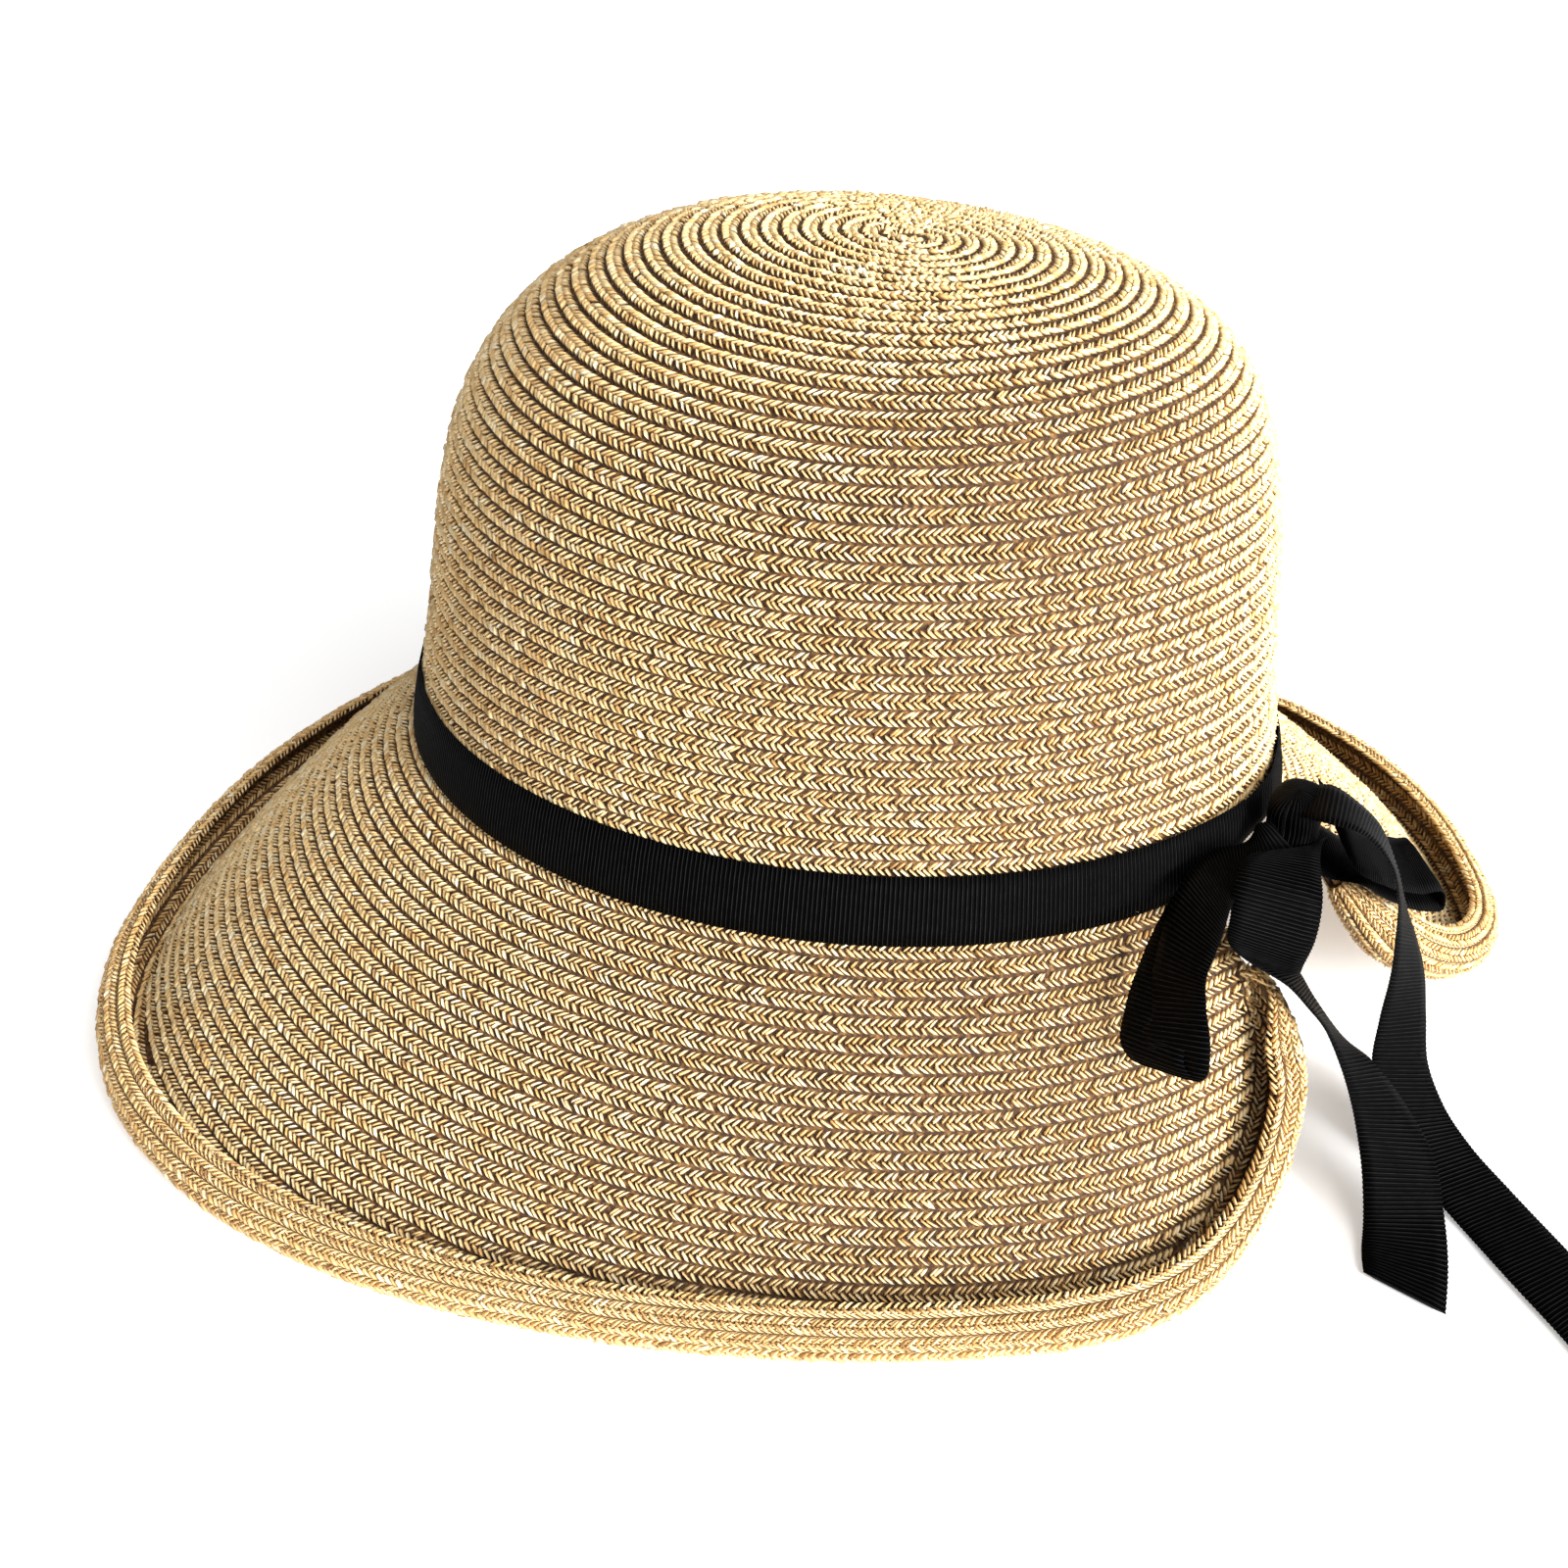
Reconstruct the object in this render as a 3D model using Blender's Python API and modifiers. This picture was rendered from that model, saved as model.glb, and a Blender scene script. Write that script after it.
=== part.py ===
"""Straw bucket hat with a rolled, split brim and a black ribbon bow.

The hat stands on its brim. +Z is up, +Y is the back where the brim is split and the bow is tied,
+X is the wearer's left. Lengths in the tables are centimetres, the finished objects are in metres.
"""

import math

import bmesh
import bpy
import numpy as np

CM = 0.01

HAT = {
    "neck_height": 8.07,
    "lean": 2.0,
    "lean_heading": 24.098,
    "crown_height": 11.259,
    "half_length": 10.374,
    "half_width": 8.427,
    "plan_power": 2.938,
    "rise_power": 3.892,
    "base_flare": 0.074,
    "top_shift_back": 1.329,
    "top_slope": 0.064,
    "top_reach": 4.0,
    "neck_shift": -0.25,
    "neck_drop": 1.52,
    "brim_drop": 1.73,
    "straw": 0.25,
    "ribbon": 0.10,
}

BRIM = {
    "half_width": 16.40,
    "half_length": 17.90,
}

BOW = {
    "width": 1.82,
}

ROLL = {
    "radius": 0.60,
    "sweep": 245.0,
    "end_bend": 8.0,
    "seat": 24.0,
}

# Centre line of the rolled edge, from the split's near side round the front to its far side.
# neck is the neck azimuth it is joined to, in degrees from the back toward +X. x and y are shares
# of the brim's half width and half length, rise is a share of the height from the floor roll to
# the neck.
RIM = (
    # neck, x, y, rise
    (21.0, 0.2409, 0.6564, 0.5718),
    (23.0, 0.2652, 0.6955, 0.4152),
    (25.0, 0.2957, 0.7179, 0.2655),
    (28.0, 0.3598, 0.7235, 0.1293),
    (31.5, 0.4360, 0.7151, 0.0477),
    (35.5, 0.5152, 0.6983, 0.0136),
    (40.0, 0.5915, 0.6715, 0.0014),
    (45.0, 0.6555, 0.6302, 0.0000),
    (51.0, 0.7165, 0.5642, 0.0000),
    (58.0, 0.7744, 0.4760, 0.0000),
    (66.0, 0.8305, 0.3743, 0.0000),
    (75.0, 0.8872, 0.2458, 0.0000),
    (84.0, 0.9354, 0.1117, 0.0000),
    (94.0, 0.9738, -0.0419, 0.0000),
    (104.0, 0.9970, -0.1955, 0.0000),
    (113.0, 0.9988, -0.3464, 0.0000),
    (121.0, 0.9787, -0.4804, 0.0000),
    (129.0, 0.9360, -0.6006, 0.0000),
    (137.0, 0.8689, -0.7123, 0.0000),
    (145.0, 0.7713, -0.8101, 0.0000),
    (153.0, 0.6433, -0.8911, 0.0000),
    (161.0, 0.4878, -0.9469, 0.0000),
    (169.0, 0.3110, -0.9832, 0.0000),
    (177.0, 0.1220, -0.9989, 0.0000),
    (186.0, -0.0732, -0.9832, 0.0000),
    (195.0, -0.2622, -0.9385, 0.0000),
    (204.0, -0.4390, -0.8687, 0.0000),
    (213.0, -0.5976, -0.7737, 0.0000),
    (222.0, -0.7317, -0.6536, 0.0000),
    (231.0, -0.8354, -0.5140, 0.0000),
    (240.0, -0.9085, -0.3575, 0.0000),
    (250.0, -0.9512, -0.1899, 0.0000),
    (260.0, -0.9665, -0.0168, 0.0000),
    (270.0, -0.9573, 0.1564, 0.0000),
    (280.0, -0.9268, 0.3184, 0.0000),
    (290.0, -0.8780, 0.4665, 0.0000),
    (299.0, -0.8079, 0.6006, 0.0000),
    (307.0, -0.7287, 0.7039, 0.0000),
    (314.0, -0.6433, 0.7793, 0.0000),
    (321.0, -0.5518, 0.8352, 0.0027),
    (328.0, -0.4543, 0.8771, 0.0136),
    (335.0, -0.3598, 0.9039, 0.0381),
    (341.0, -0.2744, 0.9095, 0.0749),
    (346.0, -0.1951, 0.8927, 0.1253),
    (350.0, -0.1280, 0.8547, 0.2042),
    (353.0, -0.0762, 0.8128, 0.3131),
    (355.0, -0.0366, 0.7709, 0.4425),
    (357.0, -0.0091, 0.7263, 0.5854),
)


BAND = {
    "near_end": 13.2,
    "far_end": 364.6,
    "near_lift": 16.0,
    "far_lift": 14.0,
    "middle": 0.775,
    "half": 0.775,
    "stand_off": 0.11,
    "end_middle": 0.36,
    "end_half": 0.50,
    "end_stand_off": 0.18,
}

KNOT = {
    "centre": (0.2065, 1.1606, 0.9765),
    "radii": (0.60, 0.50, 0.70),
    "turn": 8.0,
    "pinch": 0.16,
    "squareness": 2.6,
}

# Free end in front of the split: out from the knot, over the edge and down to the floor.
# Rows: middle as shares of the half width, half length and neck height, direction across the
# ribbon, share of the full ribbon width.
TAIL_FRONT = (
    (0.2255, 1.2155, 0.9195, -0.939, 0.344, 0.000, 0.35),
    (0.4308, 1.1654, 0.9851, -0.540, 0.783, -0.309, 1.00),
    (0.5536, 1.1741, 0.9665, -0.268, 0.941, -0.208, 1.00),
    (0.5755, 1.1775, 0.8674, -0.417, 0.839, -0.351, 1.00),
    (0.5370, 1.1987, 0.7367, -0.674, 0.477, -0.564, 1.00),
    (0.4747, 1.2406, 0.6140, -0.869, 0.077, -0.489, 1.00),
    (0.4586, 1.2825, 0.5390, -0.855, 0.006, -0.519, 1.00),
    (0.4705, 1.3384, 0.4703, -0.743, 0.182, -0.644, 1.00),
    (0.4741, 1.4006, 0.3848, -0.820, 0.330, -0.468, 1.00),
    (0.5097, 1.4715, 0.2788, -0.689, 0.634, -0.353, 1.00),
    (0.5708, 1.5332, 0.1673, -0.462, 0.875, -0.143, 1.00),
    (0.6728, 1.5741, 0.0620, -0.408, 0.913, 0.000, 1.02),
    (0.9013, 1.6103, 0.0124, 0.246, 0.969, 0.000, 1.05),
)

# Free end behind it: over the knot, straight down and out along the floor.
# Rows: middle as shares of the half width, half length and neck height, direction across the
# ribbon, share of the full ribbon width.
TAIL_BACK = (
    (0.1982, 1.1693, 1.0756, -0.998, 0.067, 0.000, 0.50),
    (0.2664, 1.2305, 1.0849, -0.992, -0.087, -0.087, 0.82),
    (0.2569, 1.2898, 1.0539, -0.963, -0.022, -0.270, 1.00),
    (0.2296, 1.3351, 0.9913, -0.928, 0.000, -0.373, 1.00),
    (0.2462, 1.3789, 0.9170, -0.828, 0.027, -0.560, 1.00),
    (0.2397, 1.4107, 0.8048, -0.770, 0.083, -0.633, 1.00),
    (0.2065, 1.4358, 0.6691, -0.779, 0.236, -0.581, 1.00),
    (0.2071, 1.4570, 0.5452, -0.807, 0.368, -0.461, 1.00),
    (0.2178, 1.4715, 0.3717, -0.773, 0.543, -0.329, 1.00),
    (0.2646, 1.4898, 0.2416, -0.670, 0.676, -0.308, 1.00),
    (0.3151, 1.5365, 0.1363, -0.598, 0.779, -0.187, 1.00),
    (0.3904, 1.6185, 0.0496, -0.702, 0.713, 0.000, 1.00),
    (0.4895, 1.7264, 0.0124, -0.752, 0.659, 0.000, 1.00),
    (0.6497, 1.8570, 0.0124, -0.765, 0.644, 0.000, 1.00),
    (0.8253, 2.0012, 0.0124, -0.820, 0.572, 0.000, 1.00),
    (0.8995, 2.0682, 0.0124, -0.652, 0.759, 0.000, 1.08),
)

# Near loop: forward and down onto the brim, folded, and back underneath.
# Rows: middle as shares of the half width, half length and neck height, direction across the
# ribbon, share of the full ribbon width.
LOOP_LEFT = (
    (0.2943, 1.1423, 0.9665, -0.068, 0.786, -0.615, 0.32),
    (0.3916, 1.0941, 0.9269, 0.930, 0.316, -0.186, 0.59),
    (0.5358, 1.0488, 0.9554, 0.870, 0.492, -0.022, 1.00),
    (0.6539, 1.0358, 0.9492, 0.736, 0.676, -0.033, 1.00),
    (0.7452, 1.0305, 0.9114, 0.659, 0.735, 0.159, 1.00),
    (0.8194, 1.0290, 0.8556, 0.609, 0.708, 0.357, 1.00),
    (0.8995, 1.0425, 0.7875, 0.418, 0.743, 0.523, 1.00),
    (0.9624, 1.0603, 0.7131, 0.340, 0.856, 0.390, 1.00),
    (0.9802, 1.0637, 0.6574, 0.374, 0.864, 0.336, 1.00),
    (0.9677, 1.0464, 0.6202, 0.403, 0.855, 0.326, 1.00),
    (0.9588, 1.0194, 0.6450, 0.429, 0.852, 0.302, 1.00),
    (0.8989, 1.0049, 0.7224, 0.435, 0.842, 0.319, 1.00),
    (0.7909, 1.0040, 0.8030, 0.502, 0.812, 0.298, 1.00),
    (0.6645, 1.0107, 0.8643, 0.540, 0.822, 0.182, 0.88),
    (0.5120, 1.0305, 0.8922, 0.448, 0.879, -0.165, 0.60),
    (0.2979, 1.1259, 0.8984, -0.199, 0.877, -0.438, 0.28),
)

# Far loop: back over the far end of the brim, folded, and back underneath.
# Rows: middle as shares of the half width, half length and neck height, direction across the
# ribbon, share of the full ribbon width.
LOOP_RIGHT = (
    (0.1460, 1.2059, 1.0087, 0.461, 0.532, -0.710, 0.31),
    (0.1798, 1.2753, 0.9176, 0.954, 0.287, -0.081, 0.88),
    (0.0415, 1.3418, 0.7819, 0.925, 0.352, -0.143, 1.00),
    (-0.1246, 1.3992, 0.6636, 0.838, 0.502, -0.215, 1.00),
    (-0.2290, 1.4397, 0.5954, 0.725, 0.643, -0.247, 1.00),
    (-0.2391, 1.4440, 0.5520, 0.677, 0.649, -0.347, 1.00),
    (-0.1590, 1.4045, 0.5836, 0.725, 0.593, -0.351, 1.00),
    (-0.0718, 1.3457, 0.6456, 0.882, 0.449, -0.142, 1.00),
    (0.0516, 1.2849, 0.7565, 0.932, 0.363, 0.019, 0.88),
    (0.1353, 1.2059, 0.9269, 0.564, 0.529, -0.634, 0.31),
)


def lean_axes():
    """Directions of the leaning hat: back, left side and up, in the resting frame."""
    heading = math.radians(HAT["lean_heading"])
    lean = math.radians(HAT["lean"])
    toward = np.array([math.cos(heading), math.sin(heading), 0.0])
    across = np.array([-math.sin(heading), math.cos(heading), 0.0])
    up = -math.sin(lean) * toward + math.cos(lean) * np.array([0.0, 0.0, 1.0])
    raised = math.cos(lean) * toward + math.sin(lean) * np.array([0.0, 0.0, 1.0])
    back = math.cos(heading) * across + math.sin(heading) * raised
    side = -math.sin(heading) * across + math.cos(heading) * raised
    return back, side, up


def place(along_back, along_side, height):
    """Points of the leaning hat frame, whose origin is the middle of the neck, as resting points."""
    back, side, up = lean_axes()
    points = np.multiply.outer(along_back, back)
    points = points + np.multiply.outer(along_side, side)
    points = points + np.multiply.outer(height, up)
    points[..., 2] += HAT["neck_height"]
    return points


def neck_spread(drop):
    """How far the neck has flared outward at a drop below the neck's middle plane."""
    return 0.15 * drop + 0.105 * drop ** 2


def crown_point(rise, azimuth, offset=0.0):
    """Outer surface of the crown. rise runs from 0 at the neck plane to 1 at the top."""
    angle = np.asarray(rise, float) * math.pi / 2.0
    plan = np.clip(np.cos(angle), 0.0, 1.0) ** (2.0 / HAT["plan_power"])
    height = HAT["crown_height"] * np.sin(angle) ** (2.0 / HAT["rise_power"])
    part = height / HAT["crown_height"]
    plan = plan + HAT["base_flare"] * (1.0 - part) ** 3
    lean_part = part ** HAT["top_reach"]
    along = (HAT["half_length"] * plan + offset) * np.cos(azimuth)
    wide = (HAT["half_width"] * plan + offset) * np.sin(azimuth)
    shift = HAT["top_shift_back"] * lean_part + HAT["neck_shift"] * (1.0 - part) ** 2
    height = height - HAT["top_slope"] * along * lean_part
    return place(along + shift, wide, height)


def neck_point(drop, azimuth, offset=0.0):
    """Outer surface of the flared neck, drop centimetres below the neck plane."""
    spread = neck_spread(np.asarray(drop, float)) + offset
    length = HAT["half_length"] * (1.0 + HAT["base_flare"]) + 0.6 * spread
    width = HAT["half_width"] * (1.0 + HAT["base_flare"]) + spread
    along = length * np.cos(azimuth) + HAT["neck_shift"]
    wide = width * np.sin(azimuth)
    return place(along, wide, -np.asarray(drop, float) + 0.0 * along)


def smooth_table(table, count):
    """A smooth run of count rows through the rows of a table (chord-spaced cubic)."""
    rows = np.asarray(table, float)
    steps = np.linalg.norm(np.diff(rows[:, 1:4], axis=0), axis=1)
    knots = np.concatenate([[0.0], np.cumsum(steps)])
    slopes = np.gradient(rows, knots, axis=0)
    wanted = np.linspace(0.0, knots[-1], count)
    index = np.clip(np.searchsorted(knots, wanted, side="right") - 1, 0, len(knots) - 2)
    span = (knots[index + 1] - knots[index])[:, None]
    part = ((wanted - knots[index])[:, None]) / span
    before = rows[index]
    after = rows[index + 1]
    start = slopes[index] * span
    end = slopes[index + 1] * span
    square = part ** 2
    cube = part ** 3
    return (before * (2 * cube - 3 * square + 1) + start * (cube - 2 * square + part)
            + after * (3 * square - 2 * cube) + end * (cube - square))


def unit(vectors):
    """Vectors scaled to length one."""
    return vectors / np.linalg.norm(vectors, axis=-1, keepdims=True)


def brim_grid(stations, across, around):
    """Brim sheet: for each station along the rim, points from the neck down to the roll and round it.

    A section leaves the neck, bends a little steeper on its way down, then turns up and over in a
    circle of the roll's radius and stops at the free lip. One side of the roll faces straight down,
    so that the hat stands on level ground.
    """
    rest = ROLL["radius"] + HAT["straw"] / 2.0
    table = np.array(RIM)
    table[:, 1] *= BRIM["half_width"]
    table[:, 2] *= BRIM["half_length"]
    table[:, 3] = rest + table[:, 3] * (HAT["neck_height"] - rest)
    rows = smooth_table(table, stations)
    azimuth = np.radians(rows[:, 0])
    centre = rows[:, 1:4]
    top = neck_point(HAT["brim_drop"], azimuth, -HAT["straw"] / 2.0)
    run = unit(np.gradient(centre, axis=0))
    rim = centre.copy()
    for _ in range(4):
        inward = top - rim
        normal = unit(np.cross(run, inward))
        normal = normal * np.sign(normal[:, 2:3])
        outward = np.cross(run, normal)
        outward = outward * np.sign(np.sum(outward * -inward, axis=1))[:, None]
        bend = math.radians(ROLL["end_bend"])
        normal_bent = math.cos(bend) * normal + math.sin(bend) * outward
        outward_bent = math.cos(bend) * outward - math.sin(bend) * normal
        rim = centre - ROLL["radius"] * normal_bent
    chord = np.linalg.norm(rim - top, axis=1)[:, None]
    way = unit(rim - top)
    leave = unit(way + math.tan(bend) * normal)
    arrive = unit(way - math.tan(bend) * normal)
    leave_point = top + leave * chord / 3.0
    arrive_point = rim - arrive * chord / 3.0
    parts = np.linspace(0.0, 1.0, across + 1)[:, None, None]
    sheet = (top * (1 - parts) ** 3 + 3 * leave_point * parts * (1 - parts) ** 2
             + 3 * arrive_point * parts ** 2 * (1 - parts) + rim * parts ** 3)
    down = np.degrees(np.arctan2(-outward_bent[:, 2], normal_bent[:, 2]))
    first = np.maximum(down - ROLL["seat"] / 2.0, ROLL["end_bend"])
    after = np.linspace(first + ROLL["seat"], ROLL["sweep"] + 0.0 * first, around - 1)
    turns = np.radians(np.concatenate([first[None], after]))[:, :, None]
    roll = (centre - ROLL["radius"] * np.cos(turns) * normal_bent
            + ROLL["radius"] * np.sin(turns) * outward_bent)
    grid = np.concatenate([sheet, roll], axis=0)
    return np.swapaxes(grid, 0, 1)


def grid_faces(rows, columns, closed):
    """Four-cornered faces of a grid of points; closed joins the last row to the first."""
    faces = []
    last = rows if closed else rows - 1
    for row in range(last):
        after = (row + 1) % rows
        for column in range(columns - 1):
            faces.append((row * columns + column, row * columns + column + 1,
                          after * columns + column + 1, after * columns + column))
    return faces


def make_object(name, points, faces):
    """A named mesh object from points in centimetres and faces."""
    mesh = bpy.data.meshes.new(name)
    mesh.from_pydata([tuple(point) for point in np.asarray(points).reshape(-1, 3) * CM], [], faces)
    mesh.update()
    built = bpy.data.objects.new(name, mesh)
    bpy.context.scene.collection.objects.link(built)
    return built


def thicken(built, thickness, offset):
    """Gives a sheet its wall and turns it into one closed solid."""
    wall = built.modifiers.new("wall", "SOLIDIFY")
    wall.thickness = thickness * CM
    wall.offset = offset
    wall.use_even_offset = True
    wall.use_rim = True
    bpy.context.view_layer.update()
    graph = bpy.context.evaluated_depsgraph_get()
    solid = bpy.data.meshes.new_from_object(built.evaluated_get(graph))
    built.modifiers.remove(wall)
    old = built.data
    built.data = solid
    bpy.data.meshes.remove(old)
    tidy = bmesh.new()
    tidy.from_mesh(built.data)
    bmesh.ops.triangulate(tidy, faces=tidy.faces[:])
    bmesh.ops.recalc_face_normals(tidy, faces=tidy.faces[:])
    if tidy.calc_volume(signed=True) < 0.0:
        bmesh.ops.reverse_faces(tidy, faces=tidy.faces[:])
    tidy.to_mesh(built.data)
    tidy.free()
    built.data.update()
    return built


def make_crown():
    """Rounded straw shell from its top down to the lower part of the neck."""
    sectors = 64
    azimuth = np.linspace(0.0, 2.0 * math.pi, sectors, endpoint=False)
    rises = np.concatenate([np.linspace(0.0, 0.5, 6), np.linspace(0.5, 1.0, 12)[1:-1]])
    rings = [neck_point(HAT["neck_drop"] * part, azimuth) for part in (1.0, 0.5)]
    rings = rings + [crown_point(rise, azimuth) for rise in rises]
    points = np.stack(rings, axis=1)
    columns = points.shape[1]
    faces = grid_faces(sectors, columns, True)
    top = crown_point(1.0, 0.0)
    flat = np.concatenate([points.reshape(-1, 3), top[None]], axis=0)
    for sector in range(sectors):
        after = (sector + 1) % sectors
        faces.append((sector * columns + columns - 1, sectors * columns, after * columns + columns - 1))
    built = make_object("crown", flat, faces)
    return thicken(built, HAT["straw"], inward_side(built))


def inward_side(built):
    """Which way the wall must grow so that it stays inside the surface given."""
    middle = np.mean([vertex.co[:] for vertex in built.data.vertices], axis=0)
    face = built.data.polygons[0]
    away = np.array(face.center[:]) - middle
    return -1.0 if float(np.dot(away, np.array(face.normal[:]))) > 0.0 else 1.0


def make_brim():
    """Brim sheet with its edge rolled up and over, open at the back."""
    grid = brim_grid(84, 4, 9)
    stations, columns = grid.shape[:2]
    built = make_object("brim", grid, grid_faces(stations, columns, False))
    built = thicken(built, HAT["straw"], 0.0)
    lowest = min(vertex.co.z for vertex in built.data.vertices)
    for vertex in built.data.vertices:
        if vertex.co.z < lowest + 0.1 * HAT["straw"] * CM:
            vertex.co.z = lowest
    built.data.update()
    return built


def make_band():
    """Ribbon round the neck, lifted and gathered where both ends run into the knot."""
    azimuth = np.radians(np.linspace(BAND["near_end"], BAND["far_end"], 73))
    degrees = np.degrees(azimuth)
    near = np.clip(1.0 - (degrees - BAND["near_end"]) / BAND["near_lift"], 0.0, 1.0) ** 2
    far = np.clip(1.0 - (BAND["far_end"] - degrees) / BAND["far_lift"], 0.0, 1.0) ** 2
    lift = np.maximum(near, far)
    middle = BAND["middle"] + (BAND["end_middle"] - BAND["middle"]) * lift
    half = BAND["half"] + (BAND["end_half"] - BAND["half"]) * lift
    stand_off = BAND["stand_off"] + (BAND["end_stand_off"] - BAND["stand_off"]) * lift
    top = neck_band_point(middle - half, azimuth, stand_off)
    bottom = neck_band_point(middle + half, azimuth, stand_off)
    points = np.stack([top, bottom], axis=1)
    built = make_object("ribbon_band", points, grid_faces(len(azimuth), 2, False))
    return thicken(built, HAT["ribbon"], 0.0)


def neck_band_point(drop, azimuth, offset):
    """A point outside the neck by the offset, also for the small part above the neck plane."""
    below = neck_point(np.maximum(drop, 0.0), azimuth, offset)
    above = place(0.0 * azimuth, 0.0 * azimuth, np.maximum(-drop, 0.0))
    above = above - place(0.0 * azimuth, 0.0 * azimuth, 0.0 * azimuth)
    return below + above


def ribbon_edges(table, count):
    """Left and right edge of a ribbon as smooth runs of count points."""
    rows = np.asarray(table, float)
    middle = rows[:, :3] * np.array([HAT["half_width"], HAT["half_length"], HAT["neck_height"]])
    keyed = np.concatenate([rows[:, :1], middle, rows[:, 3:7]], axis=1)
    smooth = smooth_table(keyed, count)
    reach = unit(smooth[:, 4:7]) * smooth[:, 7:8] * BOW["width"] / 2.0
    return smooth[:, 1:4] - reach, smooth[:, 1:4] + reach


def make_strip(name, table, count):
    """A bent strip of ribbon between its two edges."""
    left, right = ribbon_edges(table, count)
    points = np.stack([left, (left + right) / 2.0, right], axis=1)
    built = make_object(name, points, grid_faces(count, 3, False))
    return thicken(built, HAT["ribbon"], 0.0)


def make_knot():
    """Tied centre of the bow: a rounded lump, a little pinched round its waist."""
    around = 16
    rings = 9
    turn = math.radians(KNOT["turn"])
    spans = np.array([HAT["half_width"], HAT["half_length"], HAT["neck_height"]])
    centre = np.array(KNOT["centre"]) * spans
    power = 2.0 / KNOT["squareness"]
    longitude = np.linspace(0.0, 2.0 * math.pi, around, endpoint=False)
    latitude = np.linspace(-math.pi / 2.0, math.pi / 2.0, rings + 2)[1:-1]
    wide = np.cos(latitude)[:, None] ** power
    waist = 1.0 - KNOT["pinch"] * np.exp(-(np.sin(latitude)[:, None] / 0.45) ** 2)
    east = np.sign(np.cos(longitude)) * np.abs(np.cos(longitude)) ** power
    north = np.sign(np.sin(longitude)) * np.abs(np.sin(longitude)) ** power
    rise = (np.sign(np.sin(latitude)) * np.abs(np.sin(latitude)) ** power)[:, None] + 0.0 * longitude
    x = KNOT["radii"][0] * wide * waist * east
    y = KNOT["radii"][1] * wide * north + 0.0 * rise
    z = KNOT["radii"][2] * rise
    across = x * math.cos(turn) + y * math.sin(turn)
    along = y * math.cos(turn) - x * math.sin(turn)
    points = np.stack([across, along, z], axis=-1) + centre
    poles = centre + np.array([[0.0, 0.0, -KNOT["radii"][2]], [0.0, 0.0, KNOT["radii"][2]]])
    flat = np.concatenate([points.reshape(-1, 3), poles])
    faces = []
    for ring in range(rings - 1):
        for step in range(around):
            after = (step + 1) % around
            faces.append((ring * around + step, ring * around + after,
                          (ring + 1) * around + after, (ring + 1) * around + step))
    for step in range(around):
        after = (step + 1) % around
        faces.append((after, step, rings * around))
        faces.append(((rings - 1) * around + step, (rings - 1) * around + after, rings * around + 1))
    return make_object("knot", flat, faces)


def rest_on_floor():
    """Moves every object so that the whole hat is centred over the origin and stands on z = 0."""
    built = [thing for thing in bpy.data.objects if thing.type == "MESH"]
    corners = np.concatenate([np.array([vertex.co[:] for vertex in thing.data.vertices]) for thing in built])
    low = corners.min(axis=0)
    high = corners.max(axis=0)
    shift = -np.array([(low[0] + high[0]) / 2.0, (low[1] + high[1]) / 2.0, low[2]])
    for thing in built:
        for vertex in thing.data.vertices:
            vertex.co = [vertex.co[axis] + shift[axis] for axis in range(3)]
        thing.data.update()
    print("moved by", [round(float(part), 6) for part in shift])


def clear_scene():
    """Removes whatever a new scene starts with."""
    for built in list(bpy.data.objects):
        bpy.data.objects.remove(built, do_unlink=True)


clear_scene()
make_crown()
make_brim()
make_band()
make_knot()
make_strip("loop_left", LOOP_LEFT, 34)
make_strip("loop_right", LOOP_RIGHT, 26)
make_strip("tail_front", TAIL_FRONT, 28)
make_strip("tail_back", TAIL_BACK, 34)
rest_on_floor()
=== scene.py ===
import math

import bpy
import numpy as np
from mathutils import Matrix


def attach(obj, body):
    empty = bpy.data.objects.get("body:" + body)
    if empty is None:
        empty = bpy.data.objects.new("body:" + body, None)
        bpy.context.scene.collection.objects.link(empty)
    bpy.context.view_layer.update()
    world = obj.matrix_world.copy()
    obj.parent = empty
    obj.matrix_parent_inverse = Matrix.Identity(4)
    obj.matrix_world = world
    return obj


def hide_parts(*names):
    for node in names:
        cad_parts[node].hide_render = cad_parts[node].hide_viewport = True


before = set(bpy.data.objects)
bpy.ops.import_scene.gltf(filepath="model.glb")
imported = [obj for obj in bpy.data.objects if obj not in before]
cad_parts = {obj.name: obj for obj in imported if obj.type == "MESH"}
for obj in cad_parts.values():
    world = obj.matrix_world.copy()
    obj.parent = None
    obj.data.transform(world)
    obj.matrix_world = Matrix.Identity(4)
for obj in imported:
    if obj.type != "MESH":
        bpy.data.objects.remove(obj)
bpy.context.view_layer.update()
cm = 0.01

# where the hat stands, and its photo angle
view = {
    "place": (0.382342, 0.136689, 0.326433),
    "right": (-0.40829, 0.91285, 0.0),
    "up": (-0.51411, -0.22995, 0.82633),
    "lens": 42.68,
}

# hat block, in centimetres; shift centres the hat over the origin
hat = {
    "shift": (-0.2827, -1.7985, -0.0112),
    "neckHeight": 8.07,
    "lean": 2.0,
    "leanHeading": 24.098,
    "crownHeight": 11.259,
    "halfLength": 10.374,
    "halfWidth": 8.427,
    "planPower": 2.938,
    "risePower": 3.892,
    "baseFlare": 0.074,
    "topShiftBack": 1.329,
    "topSlope": 0.064,
    "topReach": 4.0,
    "neckShift": -0.25,
    "brimDrop": 1.73,
    "brimHalfWidth": 16.40,
    "brimHalfLength": 17.90,
    "rollRadius": 0.60,
    "rollSweep": 245.0,
    "rollTaper": 2.4,  # the roll narrows over this length at both ends of the split
    "endBend": 8.0,
    "straw": 0.25,
}

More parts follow.
